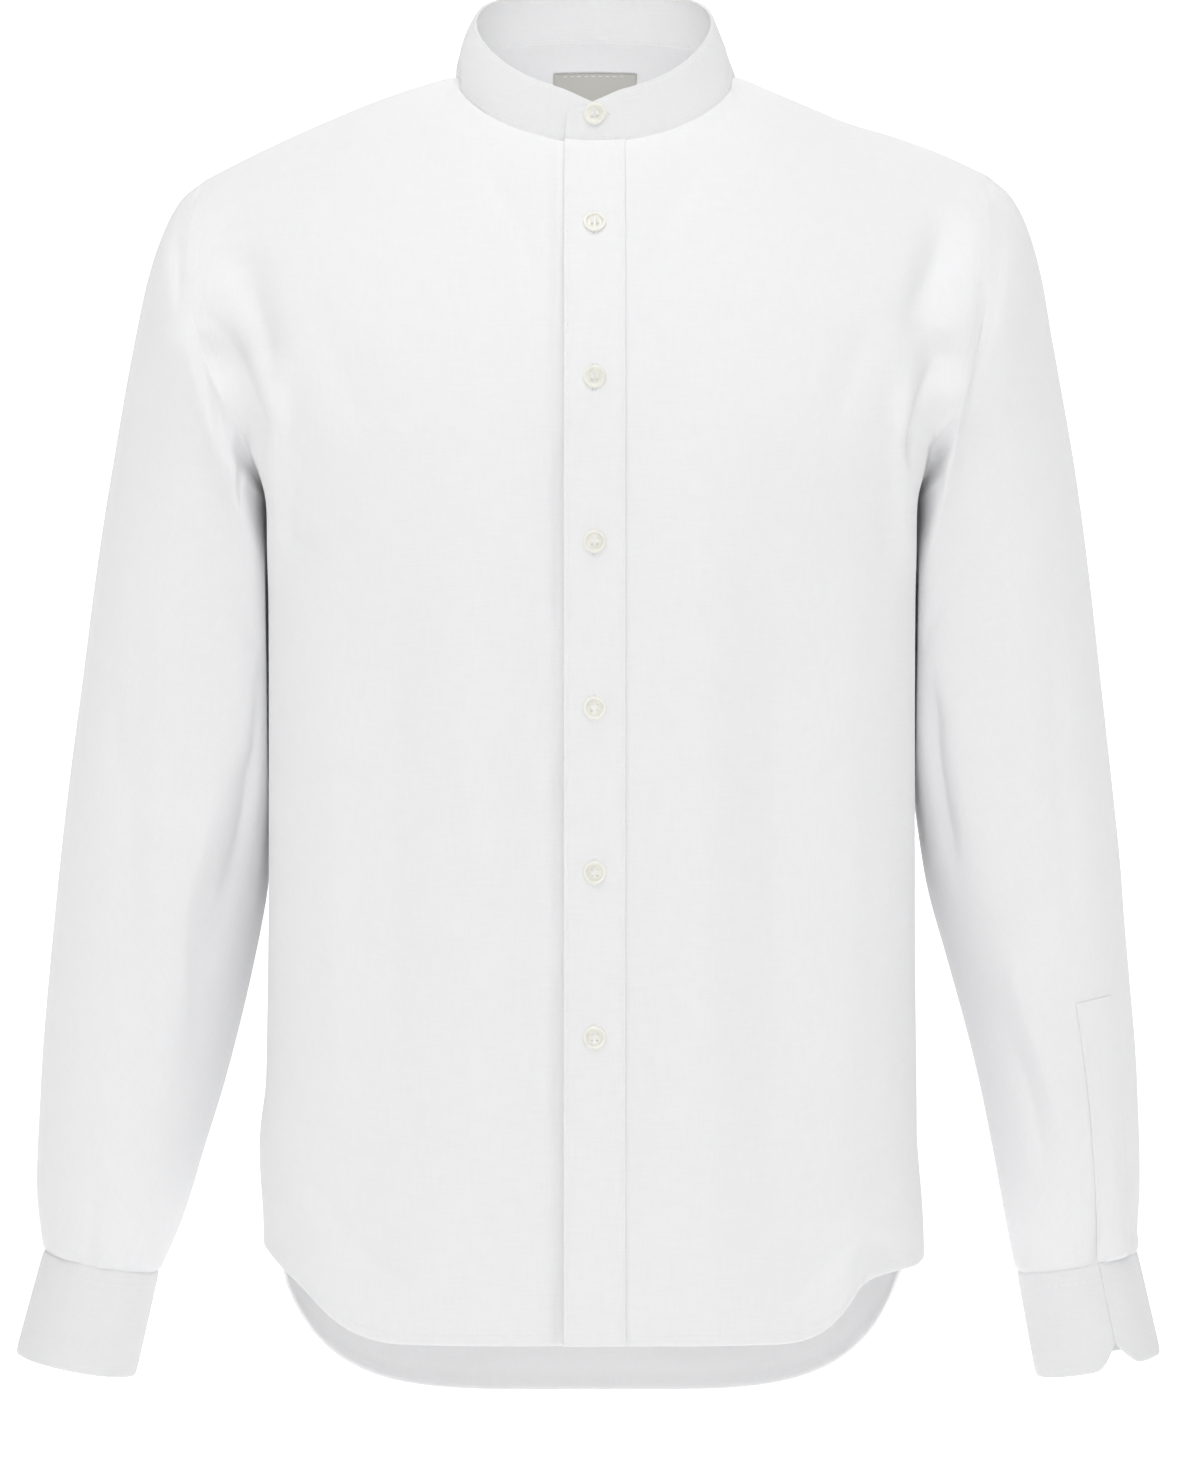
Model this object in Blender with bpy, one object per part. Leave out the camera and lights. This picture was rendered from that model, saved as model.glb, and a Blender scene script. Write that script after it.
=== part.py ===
"""Mandarin collar shirt with long sleeves, filled out by a wearer who isn't there.

Metres, +Z up. The wearer faces -Y, so the wearer's left is +X. The origin is at the middle of
the neck opening, where the shirt hangs on the wearer's neck and shoulders.

The cloth is one skin of cells, worked out from section tables: two fronts, a back, a yoke, two
sleeves and a collar band share the points of their seams. Each piece is then cut from the skin,
drawn back from its seams and given its own wall, so neighbours meet with a narrow gap.
"""
import math
from bisect import bisect_right

import bmesh
import bpy
from mathutils import Matrix, Vector

# ---- driving sizes ---------------------------------------------------------------------------
SEAM_GAP = 0.0003          # left between two pieces along a seam
CLOTH = 0.0012             # wall of one ply with its seam allowance
BAND_CLOTH = 0.0020        # wall of the collar and the cuffs: two plies and a stiffener
PLACKET_CLOTH = 0.0012
LABEL_CLOTH = 0.0010

UNDERARM_Z = -0.229        # level where the side seams end and the armholes begin
SIDE_HEM_Z = -0.650        # hem at the side seams, its highest place
FRONT_TAIL = 0.034         # how far the front hem drops below the side seams
BACK_TAIL = 0.090
WIDEST_Y = -0.035          # the body's section is widest here
SIDE_SEAM_ANGLE = math.radians(103.6)   # from straight ahead, round to the side seam
FRONT_SQUARE = 2.7         # superellipse powers of the body's front and back halves
BACK_SQUARE = 2.1
ROW_ARCH = 1.6             # how a row of the skin falls from its middle to its edge

NECK_X = 0.0025            # the neck opening's middle
NECK_Y = -0.020
NECK_HALF_WIDTH = 0.0780
NECK_HALF_DEPTH = 0.0470
NECK_SIDE_ANGLE = math.radians(88)      # from straight ahead, round to the shoulder seam
BAND_TOP_Y = -0.015
BAND_TOP_HALF_WIDTH = 0.0655
BAND_HEIGHT = 0.031
BAND_END_DROP = 0.014      # the band's top edge falls this much at its two front ends
BAND_END_RUN = 0.038       # over this length
BAND_BULGE = 0.0030        # the band swells by this on the wearer's right

PLACKET_EDGES = (-0.0145, 0.0187)       # the buttoning strip, between these two lines
PLACKET_STEPS = 4
UNDERLAP_EDGES = (0.0160, -0.0260)      # the other front runs on under the strip, between these
UNDERLAP_DEPTH = 0.0027    # how far it lies behind the upper front there
UNDERLAP_TURN = -0.0165    # it starts to come forward again at this line

BUTTON_RADIUS = 0.0062
BUTTON_THICKNESS = 0.0026
BUTTON_LEVELS = (-0.081, -0.166, -0.254, -0.343, -0.431, -0.519)
COLLAR_BUTTON_Z = -0.0172
CUFF_BUTTON_RADIUS = 0.0052

CUFF_HEIGHT = 0.0600
CUFF_OVERLAP = math.radians(36)
CUFF_CORNER = 0.015        # the cuff's lower corners are rounded off by this much
CUFF_LENGTH = 0.26
CUFF_STEPS = 24

# ---- grid of the skin ------------------------------------------------------------------------
BODY_ROWS = 12             # hem to underarm
YOKE_SEAM_ROW = 7          # rows from the underarm up to the yoke's back seam
CHEST_ROWS = 12            # underarm to shoulder
NECK_STEPS = 5             # front neckline outside the buttoning strip
SHOULDER_STEPS = 6
BACK_NECK_STEPS = 10
SLEEVE_ROWS = 22
BAND_ROWS = 3
LABEL_COLUMNS = 2
LABEL_ROWS = (22.0, 22.75, 23.5)         # it hangs from just below the collar's seam


class Table:
    """Rows of named values, read between rows along smooth curves that don't overshoot."""

    def __init__(self, names, *rows):
        self.columns = dict(zip(names.split(), zip(*rows)))
        self.keys = self.columns[names.split()[0]]

    def at(self, name, key):
        keys, values = self.keys, self.columns[name]
        key = min(max(key, keys[0]), keys[-1])
        i = min(bisect_right(keys, key) - 1, len(keys) - 2)
        width = keys[i + 1] - keys[i]
        t = (key - keys[i]) / width
        start, end = self.slope(values, i) * width, self.slope(values, i + 1) * width
        return ((1 + 2 * t) * (1 - t) ** 2 * values[i] + t * (1 - t) ** 2 * start
                + t * t * (3 - 2 * t) * values[i + 1] - t * t * (1 - t) * end)

    def slope(self, values, i):
        def rise(a):
            return (values[a + 1] - values[a]) / (self.keys[a + 1] - self.keys[a])
        if i == 0 or i == len(values) - 1:
            return rise(min(i, len(values) - 2))
        before, after = rise(i - 1), rise(i)
        if before * after <= 0:
            return 0.0
        return 2 * before * after / (before + after)


# Body sections below the underarm: half widths of the wearer's right and left, and the depths of
# the middle of the front and of the back.
BODY = Table(
    "z       right   left    front    back",
    (-0.740, 0.1815, 0.1815, -0.1400, 0.1300),
    (-0.600, 0.1810, 0.1812, -0.1390, 0.1290),
    (-0.450, 0.1790, 0.1800, -0.1380, 0.1220),
    (-0.330, 0.1788, 0.1799, -0.1380, 0.1200),
    (-0.229, 0.1795, 0.1805, -0.1360, 0.1230))

# Middle of the front and of the back above the underarm, from 0 there to 1 at the neck seam.
MIDDLE = Table(
    "up    front_y  front_z  back_y   back_z",
    (0.00, -0.1360, -0.2290, 0.1230, -0.2290),
    (0.25, -0.1325, -0.1800, 0.1250, -0.1780),
    (0.50, -0.1220, -0.1310, 0.1220, -0.1220),
    (0.70, -0.1065, -0.0900, 0.1080, -0.0700),
    (0.87, -0.0855, -0.0540, 0.0700, -0.0120),
    (1.00, -0.0670, -0.0330, 0.0270, 0.0330))

# The armhole from the underarm to the shoulder's tip: its distance from the middle on each side,
# on the front and on the back, its depth there, and how far round the sections run in degrees.
ARMHOLE = Table(
    "up     right   left    back    z        front_y  back_y   front_turn  back_turn",
    (0.000, 0.1747, 0.1757, 0.1752, -0.2290, 0.0053, 0.0053, 103.6, 76.4),
    (0.100, 0.1825, 0.1835, 0.1800, -0.2150, -0.0280, 0.0400, 96.0, 78.0),
    (0.215, 0.1930, 0.1935, 0.1860, -0.1940, -0.0520, 0.0620, 89.0, 79.0),
    (0.375, 0.2060, 0.2060, 0.1940, -0.1650, -0.0630, 0.0710, 81.0, 79.0),
    (0.600, 0.2190, 0.2160, 0.2040, -0.1240, -0.0590, 0.0650, 73.0, 76.0),
    (0.800, 0.2230, 0.2190, 0.2120, -0.0860, -0.0400, 0.0440, 66.0, 70.0),
    (0.930, 0.2190, 0.2195, 0.2160, -0.0610, -0.0190, 0.0210, 61.0, 64.0),
    (1.000, 0.2140, 0.2195, 0.2167, -0.0480, -0.0060, -0.0060, 58.0, 60.0))

# The shoulder seam from the neck to the tip.
SHOULDER = Table(
    "out   right   left    y        right_z  left_z",
    (0.00, 0.0755, 0.0805, -0.0180, 0.0085, 0.0085),
    (0.20, 0.1040, 0.1040, -0.0150, 0.0012, -0.0002),
    (0.50, 0.1450, 0.1440, -0.0110, -0.0143, -0.0164),
    (0.75, 0.1800, 0.1830, -0.0080, -0.0296, -0.0280),
    (1.00, 0.2140, 0.2205, -0.0060, -0.0465, -0.0445))

# Sleeve sections from the armhole to the cuff. Each is an oval through an outer and an inner
# point; half_depth is its half size from front to back and middle_y its middle.
SLEEVE = Table(
    "row  right_out left_out out_z    right_in left_in in_z     half_depth middle_y",
    (0.0, 0.2140, 0.2205, -0.0455, 0.1747, 0.1757, -0.2290, 0.0680, 0.0030),
    (1.0, 0.2285, 0.2345, -0.0570, 0.1775, 0.1787, -0.2370, 0.0700, 0.0050),
    (2.0, 0.2390, 0.2450, -0.0760, 0.1780, 0.1792, -0.2470, 0.0700, 0.0080),
    (3.0, 0.2475, 0.2525, -0.1010, 0.1772, 0.1784, -0.2590, 0.0690, 0.0100),
    (4.0, 0.2570, 0.2600, -0.1420, 0.1762, 0.1777, -0.2780, 0.0660, 0.0120),
    (5.0, 0.2675, 0.2705, -0.2000, 0.1760, 0.1777, -0.3050, 0.0620, 0.0120),
    (6.0, 0.2770, 0.2788, -0.2600, 0.1762, 0.1781, -0.3330, 0.0590, 0.0110),
    (7.0, 0.2855, 0.2862, -0.3270, 0.1768, 0.1790, -0.3660, 0.0560, 0.0100),
    (8.0, 0.2920, 0.2915, -0.3770, 0.1786, 0.1822, -0.4010, 0.0530, 0.0080),
    (9.0, 0.2976, 0.2966, -0.4280, 0.1815, 0.1890, -0.4450, 0.0500, 0.0050),
    (10.0, 0.3022, 0.3000, -0.4780, 0.1915, 0.2035, -0.4970, 0.0470, 0.0020),
    (11.0, 0.3065, 0.3045, -0.5290, 0.2040, 0.2165, -0.5480, 0.0440, 0.0000),
    (12.0, 0.3090, 0.3065, -0.5790, 0.2190, 0.2262, -0.5970, 0.0420, -0.0020),
    (13.0, 0.3100, 0.3070, -0.6080, 0.2270, 0.2310, -0.6240, 0.0415, -0.0030),
    (14.0, 0.3060, 0.3050, -0.6445, 0.2410, 0.2375, -0.6570, 0.0405, -0.0040))

# Cuff ovals, named as the sleeve's are, at the top edge and the bottom edge.
CUFF = Table(
    "row  right_out left_out out_z    right_in left_in in_z     half_depth middle_y",
    (0.0, 0.3055, 0.3035, -0.6450, 0.2418, 0.2385, -0.6572, 0.0395, -0.0040),
    (1.0, 0.3210, 0.3165, -0.7018, 0.2548, 0.2488, -0.7155, 0.0400, -0.0060))

# Where each cuff's upper end lies, in degrees from straight ahead towards the outer side, and the
# sleeve columns that its placket covers, counted from straight ahead.
CUFF_END_ANGLE = {"left": 16.0, "right": 150.0}
PLACKET_COLUMN = {"left": 1, "right": 8}
SLEEVE_PLACKET_ROWS = 5

# The largest folds, each a soft ridge (+) or trough (-) along points given as (x, z).
FOLDS = (
    # face    height   half_width  points
    ("front", -0.0050, 0.013, ((-0.195, -0.085), (-0.186, -0.122), (-0.176, -0.160))),
    ("front", 0.0045, 0.013, ((-0.233, -0.130), (-0.216, -0.160), (-0.198, -0.205))),
    ("front", -0.0065, 0.011, ((-0.209, -0.135), (-0.197, -0.168), (-0.184, -0.205))),
    ("front", -0.0045, 0.013, ((0.201, -0.068), (0.192, -0.100), (0.177, -0.150))),
    ("front", 0.0045, 0.012, ((0.212, -0.060), (0.206, -0.125), (0.198, -0.195))),
    ("front", -0.0065, 0.011, ((0.196, -0.135), (0.189, -0.165), (0.182, -0.215))),
    ("front", -0.0045, 0.015, ((-0.206, -0.360), (-0.194, -0.450))),
    ("front", -0.0050, 0.015, ((0.205, -0.320), (0.200, -0.425))),
    ("front", 0.0035, 0.012, ((0.232, -0.480), (0.268, -0.585))),
    ("front", 0.0035, 0.010, ((-0.240, -0.380), (-0.232, -0.560))),
    ("front", 0.0025, 0.028, ((-0.078, -0.200), (-0.084, -0.720))),
    ("front", -0.0025, 0.026, ((-0.128, -0.240), (-0.130, -0.720))),
    ("front", 0.0025, 0.028, ((0.062, -0.180), (0.066, -0.720))),
    ("front", -0.0025, 0.026, ((0.112, -0.240), (0.108, -0.720))),
    ("back", -0.0050, 0.014, ((-0.190, -0.090), (-0.176, -0.190))),
    ("back", -0.0050, 0.014, ((0.192, -0.085), (0.178, -0.195))),
    ("back", 0.0045, 0.026, ((-0.070, -0.110), (-0.078, -0.770))),
    ("back", -0.0040, 0.026, ((0.004, -0.160), (0.000, -0.770))),
    ("back", 0.0040, 0.026, ((0.072, -0.110), (0.084, -0.770))),
    ("back", -0.0050, 0.015, ((-0.225, -0.330), (-0.214, -0.450))),
    ("back", -0.0050, 0.015, ((0.228, -0.320), (0.216, -0.440))),
)

COLOURS = {"cloth": (0.86, 0.86, 0.85, 1.0), "button": (0.80, 0.79, 0.70, 1.0),
           "label": (0.55, 0.54, 0.50, 1.0)}


# ---- sections --------------------------------------------------------------------------------
def lerp(a, b, t):
    return a + (b - a) * t


def ease(t):
    t = min(max(t, 0.0), 1.0)
    return t * t * (3 - 2 * t)


def across(angle, square):
    """Share of a section's half width at an angle from its middle line."""
    return math.copysign(abs(math.sin(angle)) ** (2 / square), angle)


def angle_across(share, square):
    return math.copysign(math.asin(abs(share) ** (square / 2)), share)


def back_ratio(z):
    """Depth of the section behind its widest place, over the depth in front of it."""
    z = min(z, UNDERARM_Z)
    return (BODY.at("back", z) - WIDEST_Y) / (WIDEST_Y - BODY.at("front", z))


def round_front(angle, ratio):
    """Share of the way back from the front's middle at an angle; over 1 past the widest place."""
    if abs(angle) <= math.pi / 2:
        return 1 - math.cos(angle) ** (2 / FRONT_SQUARE)
    return 1 + ratio * abs(math.cos(angle)) ** (2 / BACK_SQUARE)


def round_back(angle):
    return 1 - math.cos(angle) ** (2 / BACK_SQUARE)


def side_edge(side, up, face):
    """The side seam (up from -1 at the hem to 0) and the armhole (0 to 1) of a front or back."""
    if up >= 0:
        x = ARMHOLE.at(side, up)
        if face == "back":
            share = min(1.0, up / 0.1, (1 - up) / 0.1)
            x = lerp(x, ARMHOLE.at("back", up), ease(share))
        return Vector((x, ARMHOLE.at(face + "_y", up), ARMHOLE.at("z", up)))
    z = lerp(UNDERARM_Z, SIDE_HEM_Z, -up)
    x = BODY.at(side, z) * across(SIDE_SEAM_ANGLE, BACK_SQUARE)
    y = lerp(WIDEST_Y, BODY.at("back", z), abs(math.cos(SIDE_SEAM_ANGLE)) ** (2 / BACK_SQUARE))
    return Vector((x, y, z))


def front_tail(angle):
    return FRONT_TAIL * (1 - ease((math.degrees(abs(angle)) - 30) / 55))


def back_tail(angle):
    return BACK_TAIL * (1 - (abs(angle) / (math.pi - SIDE_SEAM_ANGLE)) ** 3.2)


def neck_point(angle):
    """Neck seam at an angle from straight ahead, positive towards the wearer's left."""
    z = 0.0045 - 0.033 * math.cos(angle) - 0.0045 * math.cos(2 * angle)
    return Vector((NECK_X + NECK_HALF_WIDTH * math.sin(angle),
                   NECK_Y - NECK_HALF_DEPTH * math.cos(angle), z))


def band_top_point(angle):
    z = 0.035 - 0.033 * math.cos(angle) - 0.006 * math.cos(2 * angle)
    return Vector((NECK_X + BAND_TOP_HALF_WIDTH * math.sin(angle),
                   BAND_TOP_Y - NECK_HALF_DEPTH * math.cos(angle), z))


def shoulder_point(side, out):
    x = SHOULDER.at(side, out) * SIGN[side]
    return Vector((x, SHOULDER.at("y", out), SHOULDER.at(side + "_z", out)))


SIGN = {"left": 1, "right": -1}
FRONT_COLUMNS = PLACKET_STEPS + NECK_STEPS + SHOULDER_STEPS
BACK_COLUMNS = 2 * SHOULDER_STEPS + BACK_NECK_STEPS
ROWS = BODY_ROWS + CHEST_ROWS
EASED_ROWS = range(BODY_ROWS, ROWS)
EASED_SLEEVE_ROWS = range(6, 0, -1)
EASED_SLEEVE_COLUMNS = range(-6, 7)     # the lower half of the armhole
EASING = 12                # rounds of evening out, from below the underarm up
SLEEVE_EASING = 3


def edge_lines(side):
    """Columns beside the front's middle, which run straight up and down."""
    if side == "left":
        first, last = PLACKET_EDGES
        return [lerp(first, last, i / PLACKET_STEPS) for i in range(PLACKET_STEPS + 1)]
    first, last = UNDERLAP_EDGES
    lines = [lerp(first, UNDERLAP_TURN, i / (PLACKET_STEPS - 1)) for i in range(PLACKET_STEPS)]
    return lines + [last]


def neck_angle(side, column):
    """Angle on the neck seam where a front's column ends."""
    lines = edge_lines(side)
    if column <= PLACKET_STEPS:
        return math.asin((lines[column] - NECK_X) / NECK_HALF_WIDTH)
    start = math.asin((lines[-1] - NECK_X) / NECK_HALF_WIDTH)
    return lerp(start, NECK_SIDE_ANGLE * SIGN[side], (column - PLACKET_STEPS) / NECK_STEPS)


def front_top(side, column):
    corner = PLACKET_STEPS + NECK_STEPS
    seam_start = shoulder_point(side, 0)
    if column >= corner:
        return shoulder_point(side, (column - corner) / SHOULDER_STEPS)
    point = neck_point(neck_angle(side, column))
    meet = seam_start - neck_point(NECK_SIDE_ANGLE * SIGN[side])
    return point + meet * ease((column - PLACKET_STEPS) / NECK_STEPS)


def front_row_point(side, column, up):
    """A front's point before its top edge is drawn to the neckline and the shoulder seam."""
    edge = side_edge(side, up, "front")
    if up >= 0:
        turn = math.radians(ARMHOLE.at("front_turn", up))
        middle_y, middle_z = MIDDLE.at("front_y", up), MIDDLE.at("front_z", up)
    else:
        turn = SIDE_SEAM_ANGLE
        middle_y, middle_z = BODY.at("front", edge.z), edge.z
    full = across(turn, FRONT_SQUARE)
    lines = edge_lines(side)
    line = lines[min(column, PLACKET_STEPS)]
    start = angle_across(line * SIGN[side] * full / edge.x, FRONT_SQUARE)
    share = max(column - PLACKET_STEPS, 0) / (FRONT_COLUMNS - PLACKET_STEPS)
    angle = lerp(start, turn, share)
    x = edge.x * across(angle, FRONT_SQUARE) / full
    ratio = back_ratio(edge.z)
    y = lerp(middle_y, edge.y, round_front(angle, ratio) / round_front(turn, ratio))
    z = lerp(middle_z, edge.z, (abs(x) / edge.x) ** ROW_ARCH)
    if up < 0:
        z += up * front_tail(angle)
    return Vector((x * SIGN[side], y, z))


def front_point(side, column, row):
    up = row / BODY_ROWS - 1 if row <= BODY_ROWS else (row - BODY_ROWS) / CHEST_ROWS
    point = front_row_point(side, column, up)
    if up > 0:
        point += (front_top(side, column) - front_row_point(side, column, 1)) * up ** 2.2
    if side == "right":
        point.y += UNDERLAP_DEPTH * ease((point.x - UNDERLAP_EDGES[1])
                                         / (UNDERLAP_TURN - UNDERLAP_EDGES[1]))
    return point


def back_top(column):
    """Shoulder seam, back neckline, other shoulder seam, from the wearer's right."""
    if column <= SHOULDER_STEPS:
        return shoulder_point("right", 1 - column / SHOULDER_STEPS)
    if column >= BACK_COLUMNS - SHOULDER_STEPS:
        return shoulder_point("left", 1 - (BACK_COLUMNS - column) / SHOULDER_STEPS)
    angle = back_neck_angle(column)
    point = neck_point(angle)
    for side in SIGN:
        near = 1 - abs(angle - NECK_SIDE_ANGLE * SIGN[side] % (2 * math.pi)) / math.radians(60)
        meet = shoulder_point(side, 0) - neck_point(NECK_SIDE_ANGLE * SIGN[side])
        point += meet * ease(near)
    return point


def back_neck_angle(column):
    """Angle on the neck seam, from the wearer's right shoulder round the back to the left."""
    share = (column - SHOULDER_STEPS) / BACK_NECK_STEPS
    return lerp(2 * math.pi - NECK_SIDE_ANGLE, NECK_SIDE_ANGLE, share)


def back_row_point(column, up):
    share = 2 * column / BACK_COLUMNS - 1
    side = "left" if share > 0 else "right"
    edge = side_edge(side, up, "back")
    if up >= 0:
        turn = math.radians(ARMHOLE.at("back_turn", up))
        middle_y, middle_z = MIDDLE.at("back_y", up), MIDDLE.at("back_z", up)
    else:
        turn = math.pi - SIDE_SEAM_ANGLE
        middle_y, middle_z = BODY.at("back", edge.z), edge.z
    angle = turn * share
    x = edge.x * across(angle, BACK_SQUARE) / across(turn, BACK_SQUARE)
    y = lerp(middle_y, edge.y, round_back(angle) / round_back(turn))
    z = lerp(middle_z, edge.z, (abs(x) / edge.x) ** ROW_ARCH)
    if up < 0:
        z += up * back_tail(angle)
    return Vector((x, y, z))


def back_point(column, row):
    up = row / BODY_ROWS - 1 if row <= BODY_ROWS else (row - BODY_ROWS) / CHEST_ROWS
    point = back_row_point(column, up)
    if up > 0:
        point += (back_top(column) - back_row_point(column, 1)) * up ** 2.2
    return point


def oval_point(table, side, row, turn, grow=0.0):
    """A sleeve's or cuff's point; turn 0 is the inner side, then front, outer side and back."""
    out = Vector((table.at(side + "_out", row), 0, table.at("out_z", row)))
    inner = Vector((table.at(side + "_in", row), 0, table.at("in_z", row)))
    middle = (out + inner) / 2
    half = (inner - out) / 2
    half = half.normalized() * (half.length + grow)
    depth = table.at("half_depth", row) + grow
    point = middle + half * math.cos(turn)
    point.y = table.at("middle_y", row) - depth * math.sin(turn)
    point.x *= SIGN[side]
    return point


# ---- skin ------------------------------------------------------------------------------------
# Pieces that lie in one smooth sheet across their seams.
GROUPS = {"left_front": "body", "right_front": "body", "back": "body", "yoke": "body"}


def relax(grid, columns, rows, rounds):
    """Even out the points inside a grid, less in its first rows; a tube wraps round."""
    for _ in range(rounds):
        moved = {}
        for i in columns:
            before, after = grid[i - 1], grid[(i + 1) % len(grid)]
            for n, j in enumerate(rows):
                around = before[j] + after[j] + grid[i][j - 1] + grid[i][j + 1]
                moved[i, j] = grid[i][j].lerp(around / 4, min(0.5, 0.1 * (n + 1)))
        for (i, j), point in moved.items():
            grid[i][j] = point


class Skin:
    """Shared points of the whole garment, and the cells that each piece owns."""

    def __init__(self):
        self.points = []
        self.known = {}
        self.cells = []
        self.level = {}

    def add(self, point):
        key = tuple(round(value, 5) for value in point)
        if key not in self.known:
            self.known[key] = len(self.points)
            self.points.append(point)
        return self.known[key]

    def add_cell(self, piece, corners, turned):
        self.cells.append((piece, tuple(reversed(corners)) if turned else tuple(corners)))

    def normals(self):
        """At each point, the way out that leans as far from each group, and its stretch.

        Where two groups meet at a crease, the wall is thicker along the way out than across.
        """
        sums = [{} for _ in self.points]
        for piece, corners in self.cells:
            a, b, c, d = (self.points[i] for i in corners)
            normal = (c - a).cross(d - b)
            group = GROUPS.get(piece, piece)
            for i in corners:
                sums[i][group] = sums[i].get(group, Vector()) + normal
        found = []
        for i, groups in enumerate(sums):
            ways = [total.normalized() for total in groups.values()]
            normal = sum(ways, Vector()).normalized()
            axis = self.level.get(i)
            if axis:
                normal = (normal - axis * normal.dot(axis)).normalized()
            lean = sum(normal.dot(way) for way in ways) / len(ways)
            found.append((normal, 1 / max(lean, 0.5)))
        return found

    def fold(self):
        normals = self.normals()
        self.points = [point + normal * fold_height(point, normal)
                       for point, (normal, _) in zip(self.points, normals)]


def fold_height(point, normal):
    """Sum of the folds at a point, each only on the face that it lies on."""
    total = 0.0
    here = Vector((point.x, point.z))
    for face, height, half_width, line in FOLDS:
        facing = -normal.y if face == "front" else normal.y
        if facing <= 0:
            continue
        points = [Vector(p) for p in line]
        lengths = [(b - a).length for a, b in zip(points, points[1:])]
        nearest = None
        run = 0.0
        for a, b, length in zip(points, points[1:], lengths):
            t = min(max((here - a).dot(b - a) / length ** 2, 0.0), 1.0)
            away = (here - a.lerp(b, t)).length
            if nearest is None or away < nearest[0]:
                nearest = (away, (run + t * length) / sum(lengths))
            run += length
        away, along = nearest
        taper = min(1.0, 5 * along + 0.15, 5 * (1 - along) + 0.15)
        total += height * math.exp(-(away / half_width) ** 2) * taper * min(1.0, 2 * facing)
    return total


def build_skin():
    """All panels' grids of point numbers, sharing the points of their seams."""
    skin = Skin()
    grids = {}
    for side in SIGN:
        shape = [[front_point(side, i, j) for j in range(ROWS + 1)]
                 for i in range(FRONT_COLUMNS + 1)]
        relax(shape, range(PLACKET_STEPS + 1, FRONT_COLUMNS), EASED_ROWS, EASING)
        grid = [[skin.add(point) for point in column] for column in shape]
        grids[side + "_front"] = grid
        for i in range(FRONT_COLUMNS):
            for j in range(ROWS):
                corners = grid[i][j], grid[i + 1][j], grid[i + 1][j + 1], grid[i][j + 1]
                skin.add_cell(side + "_front", corners, side == "right")
    shape = [[back_point(i, j) for j in range(ROWS + 1)] for i in range(BACK_COLUMNS + 1)]
    relax(shape, range(1, BACK_COLUMNS), EASED_ROWS, EASING)
    back = [[skin.add(point) for point in column] for column in shape]
    grids["back"] = back
    for i in range(BACK_COLUMNS):
        for j in range(ROWS):
            piece = "back" if j < BODY_ROWS + YOKE_SEAM_ROW else "yoke"
            corners = back[i][j], back[i + 1][j], back[i + 1][j + 1], back[i][j + 1]
            skin.add_cell(piece, corners, True)
    for side in SIGN:
        grids["sleeve_" + side] = add_sleeve(skin, grids, side)
    grids["collar"] = add_collar(skin, grids)
    skin.fold()
    return skin, grids


def add_sleeve(skin, grids, side):
    """A tube from the armhole's points to the cuff; the armhole's own shape fades down it."""
    front_edge = grids[side + "_front"][-1][BODY_ROWS:]
    back_edge = grids["back"][-1 if side == "left" else 0][BODY_ROWS:]
    armhole = front_edge + back_edge[-2:0:-1]
    around = len(armhole)
    last = SLEEVE.keys[-1]
    shape = []
    for a, own in enumerate(armhole):
        turn = 2 * math.pi * a / around
        offset = skin.points[own] - oval_point(SLEEVE, side, 0, turn)
        column = [skin.points[own]]
        for k in range(1, SLEEVE_ROWS + 1):
            row = last * (k / SLEEVE_ROWS) ** 1.15
            keep = (1 - ease(row / 6.0)) ** 1.5
            column.append(oval_point(SLEEVE, side, row, turn) + offset * keep)
        shape.append(column)
    relax(shape, EASED_SLEEVE_COLUMNS, EASED_SLEEVE_ROWS, SLEEVE_EASING)
    rings = [armhole] + [[skin.add(column[k]) for column in shape]
                         for k in range(1, SLEEVE_ROWS + 1)]
    axis = oval_axis(SLEEVE, side, last)
    for i in rings[-1]:
        skin.level[i] = axis
    for k in range(SLEEVE_ROWS):
        for a in range(around):
            b = (a + 1) % around
            corners = rings[k][a], rings[k + 1][a], rings[k + 1][b], rings[k][b]
            skin.add_cell("sleeve_" + side, corners, side == "right")
    return rings


def oval_axis(table, side, row):
    """Direction that the oval's plane faces, down the arm."""
    across_line = oval_point(table, side, row, math.pi) - oval_point(table, side, row, 0)
    axis = across_line.cross(Vector((0, 1, 0))).normalized()
    return axis if axis.z < 0 else -axis


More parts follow.
